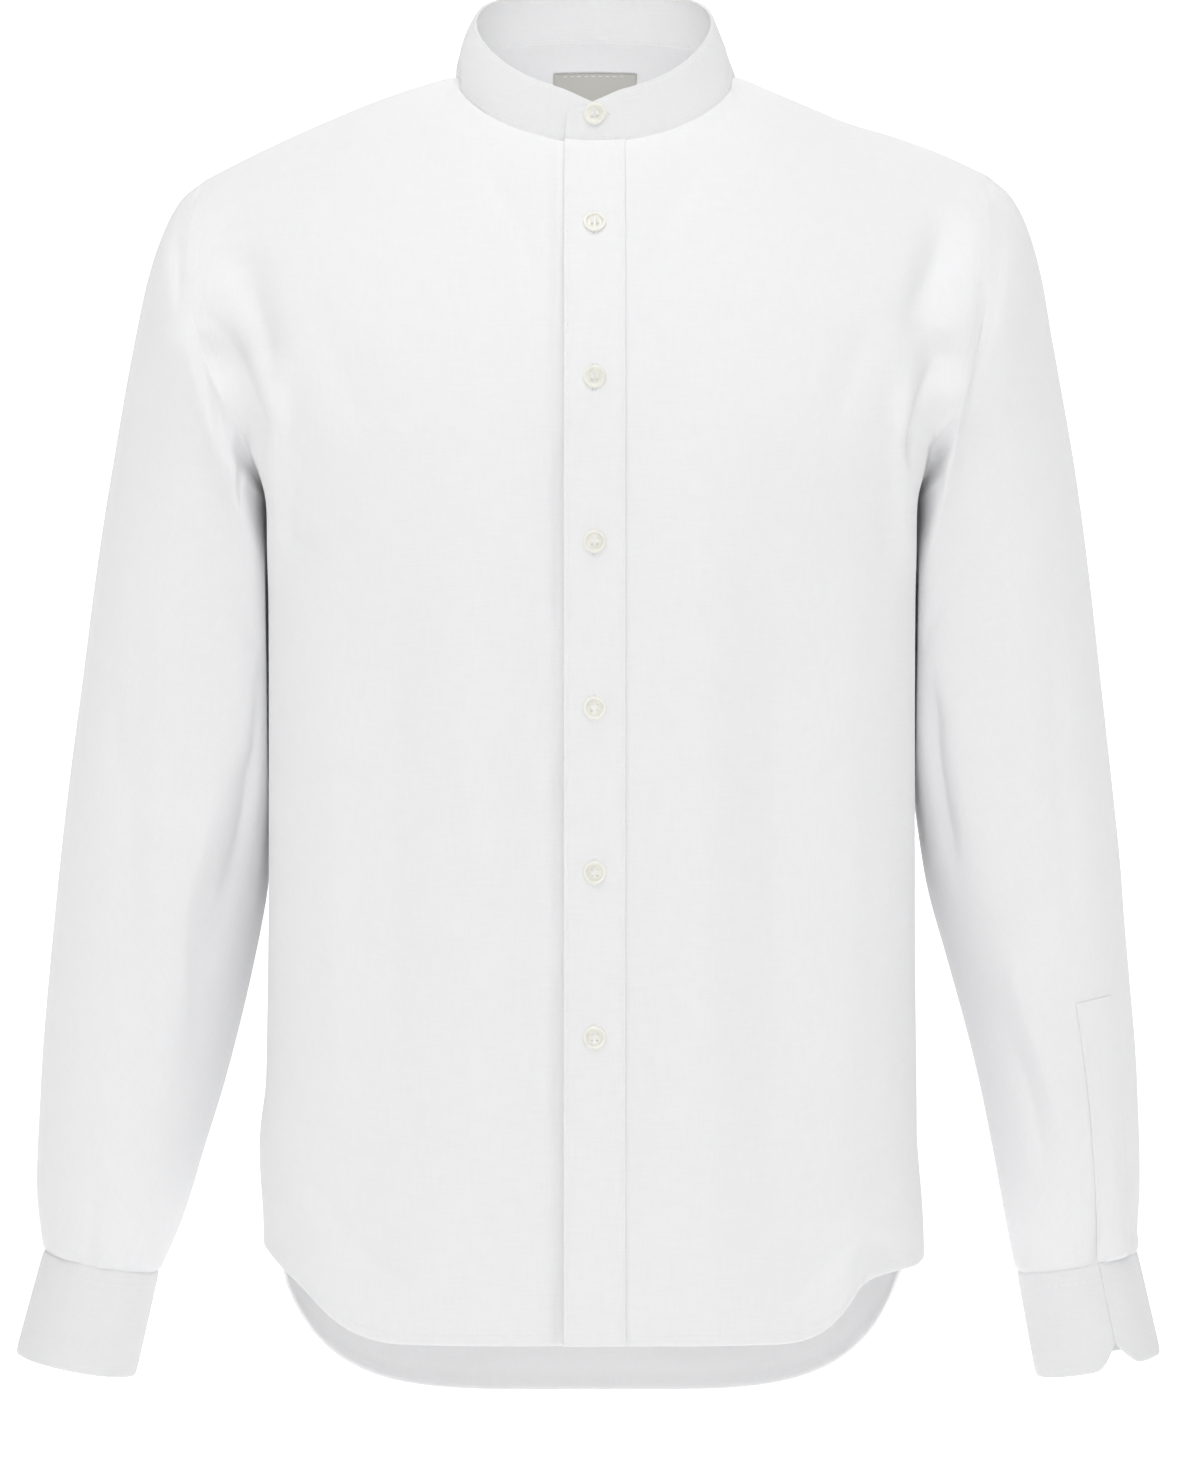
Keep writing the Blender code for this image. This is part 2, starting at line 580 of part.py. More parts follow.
def add_collar(skin, grids):
    """The band, from its upper end round the neck to its lower end."""
    corner = PLACKET_STEPS + NECK_STEPS
    left = [(grids["left_front"][i][-1], neck_angle("left", i)) for i in range(corner + 1)]
    right = [(grids["right_front"][i][-1], neck_angle("right", i)) for i in range(corner + 1)]
    back = [(grids["back"][i][-1], back_neck_angle(i))
            for i in range(BACK_COLUMNS - SHOULDER_STEPS - 1, SHOULDER_STEPS, -1)]
    seam = left + back + right[::-1]
    columns = []
    for own, angle in seam:
        base = skin.points[own]
        top = band_top_point(angle) + Vector((0, base.y - neck_point(angle).y, 0)) * (
            1 if abs(base.x) < 0.03 and base.y < NECK_Y else 0)
        run = BAND_END_RUN
        if base.y < NECK_Y:
            is_left = (own, angle) in left
            run = base.x - PLACKET_EDGES[0] if is_left else UNDERLAP_EDGES[0] - base.x
        drop = BAND_END_DROP * max(0.0, 1 - run / BAND_END_RUN) ** 1.5
        top = base.lerp(top, 1 - drop / BAND_HEIGHT)
        swell = Vector((min(math.sin(angle), 0.0) * BAND_BULGE, 0, 0))
        columns.append([own] + [skin.add(base.lerp(top, k / BAND_ROWS)
                                         + swell * math.sin(k / BAND_ROWS * math.pi * 0.8))
                                for k in range(1, BAND_ROWS + 1)])
    for s in range(len(columns) - 1):
        for k in range(BAND_ROWS):
            corners = (columns[s][k], columns[s + 1][k], columns[s + 1][k + 1], columns[s][k + 1])
            skin.add_cell("collar", corners, False)
    return columns


# ---- solids ----------------------------------------------------------------------------------
def material(name, kind, roughness):
    made = bpy.data.materials.new(name)
    made.use_nodes = True
    shader = made.node_tree.nodes["Principled BSDF"]
    shader.inputs["Base Color"].default_value = COLOURS[kind]
    shader.inputs["Roughness"].default_value = roughness
    shader.inputs["Metallic"].default_value = 0.0
    made.diffuse_color = COLOURS[kind]
    return made


def add_solid(name, mesh_data, kind="cloth", roughness=0.85):
    """A named object from points and faces, facing outwards, shaded smooth."""
    points, faces = mesh_data
    mesh = bpy.data.meshes.new(name)
    shape = bmesh.new()
    corners = [shape.verts.new(point) for point in points]
    for face in faces:
        shape.faces.new([corners[i] for i in face])
    if shape.calc_volume(signed=True) < 0:
        bmesh.ops.reverse_faces(shape, faces=shape.faces)
    shape.to_mesh(mesh)
    shape.free()
    mesh.materials.append(material(name + "_finish", kind, roughness))
    mesh.shade_smooth()
    mesh.set_sharp_from_angle(angle=math.radians(40))
    solid = bpy.data.objects.new(name, mesh)
    bpy.context.scene.collection.objects.link(solid)
    return solid


def wall(cells, outer, inner):
    """Points and triangles of a closed wall between two skins over the same cells."""
    used = sorted({i for corners in cells for i in corners})
    place = {i: n for n, i in enumerate(used)}
    count = len(used)              # the inner skin's points follow the outer skin's
    points = [outer[i] for i in used] + [inner[i] for i in used]
    faces = []
    edges = {}
    for corners in cells:
        a, b, c, d = (place[i] for i in corners)
        faces += [(a, b, c), (a, c, d)]
        faces += [(c + count, b + count, a + count), (d + count, c + count, a + count)]
        for first, second in ((a, b), (b, c), (c, d), (d, a)):
            if (second, first) in edges:
                del edges[second, first]
            else:
                edges[first, second] = True
    for first, second in edges:
        if first < second:
            faces += [(second, first, second + count), (first, first + count, second + count)]
        else:
            faces += [(second, first, first + count), (second, first + count, second + count)]
    return points, faces


def short_cut(points, corners):
    """A cell's corners, turned so that its two triangles meet along the shorter diagonal."""
    a, b, c, d = corners
    if (points[a] - points[c]).length > (points[b] - points[d]).length:
        return b, c, d, a
    return corners


def rim_pull(cells, points):
    """How far each rim point of a piece moves into the piece, to leave half a seam's gap."""
    edges = {}
    for corners in cells:
        for first, second in zip(corners, corners[1:] + corners[:1]):
            edges[first, second] = corners
    pull = {}
    for (first, second), corners in edges.items():
        if (second, first) in edges:
            continue
        along = (points[second] - points[first]).normalized()
        middle = sum((points[i] for i in corners), Vector()) / 4
        inward = middle - (points[first] + points[second]) / 2
        inward -= along * inward.dot(along)
        for i in (first, second):
            pull.setdefault(i, []).append(inward.normalized())
    moves = {}
    for i, ways in pull.items():
        total = sum(ways, Vector())
        share = total.length / len(ways)
        moves[i] = total.normalized() * (SEAM_GAP / 2) / max(share, 0.4)
    return moves


def cut_piece(skin, normals, name, cells, thickness, lift=0.0):
    """A piece's wall: its outer skin lifted off the shared points, its inner skin behind it."""
    cells = [short_cut(skin.points, corners) for corners in cells]
    moves = rim_pull(cells, skin.points)
    used = {i for corners in cells for i in corners}
    outer, inner = {}, {}
    for i in used:
        normal, stretch = normals[i]
        point = skin.points[i] + moves.get(i, Vector())
        outer[i] = point + normal * lift * stretch
        inner[i] = point + normal * (lift - thickness) * stretch
    return add_solid(name, wall(cells, outer, inner))


def grid_cells(grid, columns, rows):
    return [(grid[i][j], grid[i + 1][j], grid[i + 1][j + 1], grid[i][j + 1])
            for i in columns for j in rows]


def build_panels(skin, normals):
    for name in sorted({piece for piece, _ in skin.cells}):
        cells = [corners for piece, corners in skin.cells if piece == name]
        cut_piece(skin, normals, name, cells, BAND_CLOTH if name == "collar" else CLOTH)


def build_placket(skin, grids, normals):
    """The buttoning strip, on the points of the front that carries it."""
    cells = grid_cells(grids["left_front"], range(PLACKET_STEPS), range(ROWS))
    cut_piece(skin, normals, "placket", cells, PLACKET_CLOTH, SEAM_GAP + PLACKET_CLOTH)


def build_label(skin, grids, normals):
    """A plain tab on the inside of the yoke, just below the back of the collar."""
    middle = BACK_COLUMNS // 2
    columns = range(middle - LABEL_COLUMNS // 2, middle + LABEL_COLUMNS // 2 + 1)
    inner, outer, cells = {}, {}, []
    for i, column in enumerate(columns):
        for j, row in enumerate(LABEL_ROWS):
            below, above = [grids["back"][column][int(row) + step] for step in (0, 1)]
            point = skin.points[below].lerp(skin.points[above], row % 1)
            inward = -normals[below][0].lerp(normals[above][0], row % 1).normalized()
            key = i * len(LABEL_ROWS) + j
            inner[key] = point + inward * (CLOTH + SEAM_GAP)
            outer[key] = point + inward * (CLOTH + SEAM_GAP + LABEL_CLOTH)
            if i and j:
                n = len(LABEL_ROWS)
                cells.append((key, key - n, key - n - 1, key - 1))
    add_solid("neck_label", wall(cells, outer, inner), "label", 0.7)


def build_sleeve_placket(skin, grids, normals, side):
    """The strip beside the sleeve's slit, above the cuff's two ends."""
    rings = grids["sleeve_" + side]
    around = len(rings[0])
    first = around // 4 + PLACKET_COLUMN[side]
    cells = []
    for k in range(SLEEVE_ROWS - SLEEVE_PLACKET_ROWS, SLEEVE_ROWS):
        for a in range(first, first + 2):
            corners = rings[k][a], rings[k + 1][a], rings[k + 1][a + 1], rings[k][a + 1]
            cells.append(tuple(reversed(corners)) if side == "right" else corners)
    lift = SEAM_GAP + PLACKET_CLOTH
    cut_piece(skin, normals, "sleeve_placket_" + side, cells, PLACKET_CLOTH, lift)


def cuff_frame(side, share):
    """Where a cuff's strip is at a share of its length: turn, and how far it stands out."""
    start = math.pi / 2 + math.radians(CUFF_END_ANGLE[side])
    turn = start + CUFF_OVERLAP - share * (2 * math.pi + CUFF_OVERLAP)
    lap = 2 * math.pi * share * (1 + CUFF_OVERLAP / (2 * math.pi)) - 2 * math.pi
    rise = BAND_CLOTH + SEAM_GAP
    return turn, rise * ease((lap + math.radians(50)) / math.radians(40))


def cuff_reach(share):
    """Share of its full height that a cuff has there: its upper end is rounded, and its lower
    end rises from beside the lap, so the lap opens in a notch at the hem."""
    lap = CUFF_LENGTH * CUFF_OVERLAP / (2 * math.pi + CUFF_OVERLAP)
    away = lap + CUFF_CORNER - share * CUFF_LENGTH
    if share > 0.5:
        away = CUFF_CORNER - (1 - share) * CUFF_LENGTH
    rise = CUFF_CORNER - math.sqrt(CUFF_CORNER ** 2 - min(max(away, 0.0), CUFF_CORNER) ** 2)
    rise += 0.25 * max(away - CUFF_CORNER, 0.0)
    return 1 - rise / CUFF_HEIGHT


def build_cuff(side):
    """A strip wrapped once round the wrist, its upper end lapping over its lower end."""
    rows = 4
    outer, inner, cells = {}, {}, []
    spans = [s / CUFF_STEPS for s in range(CUFF_STEPS + 1)]
    corner_share = CUFF_CORNER / CUFF_LENGTH
    lap_share = CUFF_OVERLAP / (2 * math.pi + CUFF_OVERLAP)
    for share in (0.2, 0.5, 0.8):
        spans += [lap_share + corner_share * share, 1 - corner_share * share]
    spans = sorted(spans)
    for s, share in enumerate(spans):
        turn, rise = cuff_frame(side, share)
        reach = cuff_reach(share)
        for k in range(rows + 1):
            key = s * (rows + 1) + k
            row = reach * k / rows
            outer[key] = oval_point(CUFF, side, row, turn, rise)
            inner[key] = oval_point(CUFF, side, row, turn, rise - BAND_CLOTH)
            if s and k:
                cells.append((key, key - 1, key - rows - 2, key - rows - 1))
    return add_solid("cuff_" + side, wall(cells, outer, inner))


def build_button(name, middle, facing, radius):
    """A turned button with a raised rim round a shallow dish."""
    profile = ((0.0, 0.0), (0.80, 0.0), (1.0, 0.30), (1.0, 0.62), (0.90, 1.0), (0.72, 1.0),
               (0.60, 0.70), (0.0, 0.62))
    sides = 16
    mesh = bpy.data.meshes.new(name)
    shape = bmesh.new()
    ring = [shape.verts.new((r * radius, 0, h * BUTTON_THICKNESS)) for r, h in profile]
    edges = [shape.edges.new(pair) for pair in zip(ring, ring[1:])]
    bmesh.ops.spin(shape, geom=ring + edges, axis=(0, 0, 1), cent=(0, 0, 0),
                   angle=2 * math.pi, steps=sides, use_duplicate=False)
    bmesh.ops.remove_doubles(shape, verts=shape.verts, dist=0.00001)
    bmesh.ops.recalc_face_normals(shape, faces=shape.faces)
    turn = facing.to_track_quat("Z", "Y").to_matrix().to_4x4()
    bmesh.ops.transform(shape, matrix=Matrix.Translation(middle) @ turn, verts=shape.verts)
    shape.to_mesh(mesh)
    shape.free()
    mesh.materials.append(material(name + "_finish", "button", 0.35))
    mesh.shade_smooth()
    mesh.set_sharp_from_angle(angle=math.radians(40))
    button = bpy.data.objects.new(name, mesh)
    bpy.context.scene.collection.objects.link(button)


def strip_seat(skin, normals, grid, column, z):
    """Point and facing on the buttoning strip's middle line at a height."""
    line = [skin.points[i] for i in grid[column]]
    for j in range(len(line) - 1):
        if line[j].z <= z <= line[j + 1].z:
            t = (z - line[j].z) / (line[j + 1].z - line[j].z)
            first, second = grid[column][j], grid[column][j + 1]
            normal = normals[first][0].lerp(normals[second][0], t).normalized()
            return line[j].lerp(line[j + 1], t), normal
    raise ValueError("no button line at this height")


def build_buttons(skin, grids, normals):
    column = PLACKET_STEPS // 2
    lift = PLACKET_CLOTH + 2 * SEAM_GAP + 0.0002
    for n, z in enumerate(BUTTON_LEVELS):
        point, normal = strip_seat(skin, normals, grids["left_front"], column, z)
        build_button("button_%d" % (n + 1), point + normal * lift, normal, BUTTON_RADIUS)
    point, normal = strip_seat(skin, normals, grids["collar"], column, COLLAR_BUTTON_Z)
    build_button("collar_button", point + normal * 0.0005, normal, BUTTON_RADIUS)
    seat = math.pi / 2 + math.radians(CUFF_END_ANGLE["right"]) + CUFF_OVERLAP * 0.45
    rise = BAND_CLOTH + SEAM_GAP
    point = oval_point(CUFF, "right", 0.48, seat, rise)
    above = oval_point(CUFF, "right", 0.40, seat, rise)
    beside = oval_point(CUFF, "right", 0.48, seat + 0.02, rise)
    normal = (above - point).cross(beside - point).normalized()
    if normal.dot(point - oval_point(CUFF, "right", 0.48, seat, -0.03)) < 0:
        normal = -normal
    build_button("cuff_button_right", point + normal * 0.0006, normal, CUFF_BUTTON_RADIUS)


def main():
    for item in list(bpy.context.scene.objects):
        bpy.data.objects.remove(item, do_unlink=True)
    skin, grids = build_skin()
    normals = skin.normals()
    build_panels(skin, normals)
    build_placket(skin, grids, normals)
    build_label(skin, grids, normals)
    for side in SIGN:
        build_sleeve_placket(skin, grids, normals, side)
        build_cuff(side)
    build_buttons(skin, grids, normals)


main()
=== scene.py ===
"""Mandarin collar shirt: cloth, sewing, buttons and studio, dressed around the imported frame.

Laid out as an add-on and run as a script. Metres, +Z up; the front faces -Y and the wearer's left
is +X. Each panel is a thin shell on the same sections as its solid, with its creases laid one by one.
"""
import math
from bisect import bisect_right
from functools import lru_cache

import bpy
import numpy as np
from bpy.props import FloatProperty, FloatVectorProperty, PointerProperty
from mathutils import Matrix, Vector


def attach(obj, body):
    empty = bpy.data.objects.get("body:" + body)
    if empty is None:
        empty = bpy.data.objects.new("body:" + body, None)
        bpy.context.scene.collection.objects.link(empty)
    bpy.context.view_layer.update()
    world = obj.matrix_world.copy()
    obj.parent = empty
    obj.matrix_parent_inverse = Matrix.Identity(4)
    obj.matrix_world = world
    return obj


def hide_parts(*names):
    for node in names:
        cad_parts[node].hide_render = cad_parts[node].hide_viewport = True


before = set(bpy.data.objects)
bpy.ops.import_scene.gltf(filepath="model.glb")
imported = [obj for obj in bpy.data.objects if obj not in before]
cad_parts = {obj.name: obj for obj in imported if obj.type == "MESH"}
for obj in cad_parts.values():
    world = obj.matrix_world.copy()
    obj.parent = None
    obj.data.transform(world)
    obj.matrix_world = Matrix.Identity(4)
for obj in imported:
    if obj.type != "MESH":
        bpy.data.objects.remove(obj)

bl_info = {
    "name": "Mandarin collar shirt",
    "version": (1, 0, 0),
    "blender": (4, 5, 0),
    "location": "View3D > Sidebar > Shirt",
    "description": "Dresses the shirt's frame in cloth, sewing, buttons and a plain studio",
    "category": "Object",
}

# ---- driving sizes ---------------------------------------------------------------------------
SEAM_GAP = 0.0003          # left between two pieces along a seam
CLOTH = 0.0012             # wall of one ply with its seam allowance
BAND_CLOTH = 0.0020        # wall of the collar and the cuffs: two plies and a stiffener
LABEL_CLOTH = 0.0010
PRESSED_CLOTH = 0.0004     # wall of the strips beside the sleeves' slits, which are pressed flat

UNDERARM_Z = -0.229        # level where the side seams end and the armholes begin
SIDE_HEM_Z = -0.650        # hem at the side seams, its highest place
FRONT_TAIL = 0.034         # how far the front hem drops below the side seams
BACK_TAIL = 0.090
WIDEST_Y = -0.035          # the body's section is widest here
SIDE_SEAM_ANGLE = math.radians(103.6)   # from straight ahead, round to the side seam
FRONT_SQUARE = 2.7         # superellipse powers of the body's front and back halves
BACK_SQUARE = 2.1
FRONT_TAIL_FROM = 30       # degrees round the body where the front hem begins to rise
FRONT_TAIL_RUN = 55        # and over how many more it reaches the side seam's level
BACK_TAIL_POWER = 3.2
ROW_ARCH = 1.6             # how a row of the skin falls from its middle to its edge
TOP_POWER = 2.2            # how late a column bends to its place on the top edge

NECK_X = 0.0025            # the neck opening's middle
NECK_Y = -0.020
NECK_HALF_WIDTH = 0.0780
NECK_HALF_DEPTH = 0.0470
NECK_SIDE_ANGLE = math.radians(88)      # from straight ahead, round to the shoulder seam
NECK_LEVEL = 0.0045        # of the neck seam, halfway down its slope from back to front
NECK_SLOPE = 0.033         # it falls this much from its sides to the front
NECK_SADDLE = 0.0045       # and dips this much more at the front and the back
NECK_MEET = math.radians(60)            # how far round the neck a shoulder's corner is felt
BAND_TOP_Y = -0.015
BAND_TOP_HALF_WIDTH = 0.0655
BAND_TOP_LEVEL = 0.035
BAND_TOP_SADDLE = 0.006
BAND_HEIGHT = 0.031
BAND_END_DROP = 0.014      # the band's top edge falls this much at its two front ends
BAND_END_RUN = 0.038       # over this length
BAND_BULGE = 0.0030        # the band swells by this on the wearer's right
BAND_LAP_HALF = 0.03       # the band's ends lap within this distance of the middle

PLACKET_EDGES = (-0.0145, 0.0187)       # the buttoning strip, between these two lines
PLACKET_STEPS = 4
UNDERLAP_EDGES = (0.0160, -0.0260)      # the other front runs on under the strip, between these
UNDERLAP_DEPTH = 0.0016    # how far it lies behind the upper front there
UNDERLAP_TURN = -0.0165    # it starts to come forward again at this line

BUTTON_RADIUS = 0.0062
BUTTON_THICKNESS = 0.0026
BUTTON_LEVELS = (-0.081, -0.166, -0.254, -0.343, -0.431, -0.519)
COLLAR_BUTTON_Z = -0.0172
CUFF_BUTTON_RADIUS = 0.0052

CUFF_HEIGHT = 0.0600
CUFF_OVERLAP = math.radians(36)
CUFF_CORNER = 0.015        # the cuff's lower corners are rounded off by this much
CUFF_LENGTH = 0.26
CUFF_LAP_RISE = (math.radians(50), math.radians(40))    # before the lap, and the angle it takes

# ---- grid of the skin ------------------------------------------------------------------------
BODY_ROWS = 12             # hem to underarm
YOKE_SEAM_ROW = 7          # rows from the underarm up to the yoke's back seam
CHEST_ROWS = 12            # underarm to shoulder
NECK_STEPS = 5             # front neckline outside the buttoning strip
SHOULDER_STEPS = 6
BACK_NECK_STEPS = 10
SLEEVE_ROWS = 22
BAND_ROWS = 3
LABEL_ROWS = (22.0, 23.5)  # it hangs from just below the collar's seam
SLEEVE_ROW_POWER = 1.15    # the sleeve's rows lie closer together near the armhole
ARMHOLE_FADE = 6.0         # sleeve rows down which the armhole's own shape fades


class Table:
    """Rows of named values, read between rows along smooth curves that don't overshoot."""

    def __init__(self, names, *rows):
        self.columns = dict(zip(names.split(), zip(*rows)))
        self.keys = self.columns[names.split()[0]]

    def at(self, name, key):
        keys, values = self.keys, self.columns[name]
        key = min(max(key, keys[0]), keys[-1])
        i = min(bisect_right(keys, key) - 1, len(keys) - 2)
        width = keys[i + 1] - keys[i]
        t = (key - keys[i]) / width
        start, end = self.slope(values, i) * width, self.slope(values, i + 1) * width
        return ((1 + 2 * t) * (1 - t) ** 2 * values[i] + t * (1 - t) ** 2 * start
                + t * t * (3 - 2 * t) * values[i + 1] - t * t * (1 - t) * end)

    def slope(self, values, i):
        def rise(a):
            return (values[a + 1] - values[a]) / (self.keys[a + 1] - self.keys[a])
        if i == 0 or i == len(values) - 1:
            return rise(min(i, len(values) - 2))
        before, after = rise(i - 1), rise(i)
        if before * after <= 0:
            return 0.0
        return 2 * before * after / (before + after)


# Body sections below the underarm: half widths of the wearer's right and left, and the depths of
# the middle of the front and of the back.
BODY = Table(
    "z       right   left    front    back",
    (-0.740, 0.1815, 0.1815, -0.1400, 0.1300),
    (-0.600, 0.1810, 0.1812, -0.1390, 0.1290),
    (-0.450, 0.1790, 0.1800, -0.1380, 0.1220),
    (-0.330, 0.1788, 0.1799, -0.1380, 0.1200),
    (-0.229, 0.1795, 0.1805, -0.1360, 0.1230))

# Middle of the front and of the back above the underarm, from 0 there to 1 at the neck seam.
MIDDLE = Table(
    "up    front_y  front_z  back_y   back_z",
    (0.00, -0.1360, -0.2290, 0.1230, -0.2290),
    (0.25, -0.1325, -0.1800, 0.1250, -0.1780),
    (0.50, -0.1220, -0.1310, 0.1220, -0.1220),
    (0.70, -0.1065, -0.0900, 0.1080, -0.0700),
    (0.87, -0.0855, -0.0540, 0.0700, -0.0120),
    (1.00, -0.0670, -0.0330, 0.0270, 0.0330))

# The armhole from the underarm to the shoulder's tip: its distance from the middle on each side,
# on the front and on the back, its depth there, and how far round the sections run in degrees.
ARMHOLE = Table(
    "up     right   left    back    z        front_y  back_y   front_turn  back_turn",
    (0.000, 0.1747, 0.1757, 0.1752, -0.2290, 0.0053, 0.0053, 103.6, 76.4),
    (0.100, 0.1825, 0.1835, 0.1800, -0.2150, -0.0280, 0.0400, 96.0, 78.0),
    (0.215, 0.1930, 0.1935, 0.1860, -0.1940, -0.0520, 0.0620, 89.0, 79.0),
    (0.375, 0.2060, 0.2060, 0.1940, -0.1650, -0.0630, 0.0710, 81.0, 79.0),
    (0.600, 0.2190, 0.2160, 0.2040, -0.1240, -0.0590, 0.0650, 73.0, 76.0),
    (0.800, 0.2230, 0.2190, 0.2120, -0.0860, -0.0400, 0.0440, 66.0, 70.0),
    (0.930, 0.2190, 0.2195, 0.2160, -0.0610, -0.0190, 0.0210, 61.0, 64.0),
    (1.000, 0.2140, 0.2195, 0.2167, -0.0480, -0.0060, -0.0060, 58.0, 60.0))

# The shoulder seam from the neck to the tip.
SHOULDER = Table(
    "out   right   left    y        right_z  left_z",
    (0.00, 0.0755, 0.0805, -0.0180, 0.0085, 0.0085),
    (0.20, 0.1040, 0.1040, -0.0150, 0.0012, -0.0002),
    (0.50, 0.1450, 0.1440, -0.0110, -0.0143, -0.0164),
    (0.75, 0.1800, 0.1830, -0.0080, -0.0296, -0.0280),
    (1.00, 0.2140, 0.2205, -0.0060, -0.0465, -0.0445))

# Sleeve sections from the armhole to the cuff. Each is an oval through an outer and an inner
# point; half_depth is its half size from front to back and middle_y its middle.
SLEEVE = Table(
    "row  right_out left_out out_z    right_in left_in in_z     half_depth middle_y",
    (0.0, 0.2140, 0.2205, -0.0455, 0.1747, 0.1757, -0.2290, 0.0680, 0.0030),
    (1.0, 0.2285, 0.2345, -0.0570, 0.1775, 0.1787, -0.2370, 0.0700, 0.0050),
    (2.0, 0.2390, 0.2450, -0.0760, 0.1780, 0.1792, -0.2470, 0.0700, 0.0080),
    (3.0, 0.2475, 0.2525, -0.1010, 0.1772, 0.1784, -0.2590, 0.0690, 0.0100),
    (4.0, 0.2570, 0.2600, -0.1420, 0.1762, 0.1777, -0.2780, 0.0660, 0.0120),
    (5.0, 0.2675, 0.2705, -0.2000, 0.1760, 0.1777, -0.3050, 0.0620, 0.0120),
    (6.0, 0.2770, 0.2788, -0.2600, 0.1762, 0.1781, -0.3330, 0.0590, 0.0110),
    (7.0, 0.2855, 0.2862, -0.3270, 0.1768, 0.1790, -0.3660, 0.0560, 0.0100),
    (8.0, 0.2920, 0.2915, -0.3770, 0.1786, 0.1822, -0.4010, 0.0530, 0.0080),
    (9.0, 0.2976, 0.2966, -0.4280, 0.1815, 0.1890, -0.4450, 0.0500, 0.0050),
    (10.0, 0.3022, 0.3000, -0.4780, 0.1915, 0.2035, -0.4970, 0.0470, 0.0020),
    (11.0, 0.3065, 0.3045, -0.5290, 0.2040, 0.2165, -0.5480, 0.0440, 0.0000),
    (12.0, 0.3090, 0.3065, -0.5790, 0.2190, 0.2262, -0.5970, 0.0420, -0.0020),
    (13.0, 0.3100, 0.3070, -0.6080, 0.2270, 0.2310, -0.6240, 0.0415, -0.0030),
    (14.0, 0.3060, 0.3050, -0.6445, 0.2410, 0.2375, -0.6570, 0.0405, -0.0040))

# Cuff ovals, named as the sleeve's are, at the top edge and the bottom edge.
CUFF = Table(
    "row  right_out left_out out_z    right_in left_in in_z     half_depth middle_y",
    (0.0, 0.3055, 0.3035, -0.6450, 0.2418, 0.2385, -0.6572, 0.0395, -0.0040),
    (1.0, 0.3210, 0.3165, -0.7018, 0.2548, 0.2488, -0.7155, 0.0400, -0.0060))

# Where each cuff's upper end lies, in degrees from straight ahead towards the outer side, and the
# sleeve columns that its placket covers, counted from straight ahead.
CUFF_END_ANGLE = {"left": 16.0, "right": 150.0}
PLACKET_COLUMN = {"left": 1, "right": 8}
SLEEVE_PLACKET_ROWS = 5

# The largest folds, each a soft ridge (+) or trough (-) along points (x, z), all in millimetres.
FRONT_FOLDS = (
    # height, half width, points
    (-5, 13, (-195, -85), (-186, -122), (-176, -160)),
    (4.5, 13, (-233, -130), (-216, -160), (-198, -205)),
    (-6.5, 11, (-209, -135), (-197, -168), (-184, -205)),
    (-4.5, 13, (201, -68), (192, -100), (177, -150)),
    (4.5, 12, (212, -60), (206, -125), (198, -195)),
    (-6.5, 11, (196, -135), (189, -165), (182, -215)),
    (-4.5, 15, (-206, -360), (-194, -450)),
    (-5, 15, (205, -320), (200, -425)),
    (3.5, 12, (232, -480), (268, -585)),
    (3.5, 10, (-240, -380), (-232, -560)),
    (2.5, 28, (-78, -200), (-84, -720)),
    (-2.5, 26, (-128, -240), (-130, -720)),
    (2.5, 28, (62, -180), (66, -720)),
    (-2.5, 26, (112, -240), (108, -720)),
)

BACK_FOLDS = (
    (-5, 14, (-190, -90), (-176, -190)),
    (-5, 14, (192, -85), (178, -195)),
    (4.5, 26, (-70, -110), (-78, -770)),
    (-4, 26, (4, -160), (0, -770)),
    (4, 26, (72, -110), (84, -770)),
    (-5, 15, (-225, -330), (-214, -450)),
    (-5, 15, (228, -320), (216, -440)),
)

# ---- sections --------------------------------------------------------------------------------
def lerp(a, b, t):
    return a + (b - a) * t


def ease(t):
    """A soft rise from 0 to 1, for a number or an array."""
    t = np.clip(t, 0.0, 1.0)
    return t * t * (3 - 2 * t)


def across(angle, square):
    """Share of a section's half width at an angle from its middle line."""
    return math.copysign(abs(math.sin(angle)) ** (2 / square), angle)


def angle_across(share, square):
    return math.copysign(math.asin(abs(share) ** (square / 2)), share)


def back_ratio(z):
    """Depth of the section behind its widest place, over the depth in front of it."""
    z = min(z, UNDERARM_Z)
    return (BODY.at("back", z) - WIDEST_Y) / (WIDEST_Y - BODY.at("front", z))


def round_front(angle, ratio):
    """Share of the way back from the front's middle at an angle; over 1 past the widest place."""
    if abs(angle) <= math.pi / 2:
        return 1 - math.cos(angle) ** (2 / FRONT_SQUARE)
    return 1 + ratio * abs(math.cos(angle)) ** (2 / BACK_SQUARE)


def round_back(angle):
    return 1 - math.cos(angle) ** (2 / BACK_SQUARE)


def side_edge(side, up, face):
    """The side seam (up from -1 at the hem to 0) and the armhole (0 to 1) of a front or back."""
    if up >= 0:
        x = ARMHOLE.at(side, up)
        if face == "back":
            share = min(1.0, up / 0.1, (1 - up) / 0.1)
            x = lerp(x, ARMHOLE.at("back", up), ease(share))
        return Vector((x, ARMHOLE.at(face + "_y", up), ARMHOLE.at("z", up)))
    z = lerp(UNDERARM_Z, SIDE_HEM_Z, -up)
    x = BODY.at(side, z) * across(SIDE_SEAM_ANGLE, BACK_SQUARE)
    y = lerp(WIDEST_Y, BODY.at("back", z), abs(math.cos(SIDE_SEAM_ANGLE)) ** (2 / BACK_SQUARE))
    return Vector((x, y, z))


def front_tail(angle):
    return FRONT_TAIL * (1 - ease((math.degrees(abs(angle)) - FRONT_TAIL_FROM) / FRONT_TAIL_RUN))


def back_tail(angle):
    return BACK_TAIL * (1 - (abs(angle) / (math.pi - SIDE_SEAM_ANGLE)) ** BACK_TAIL_POWER)


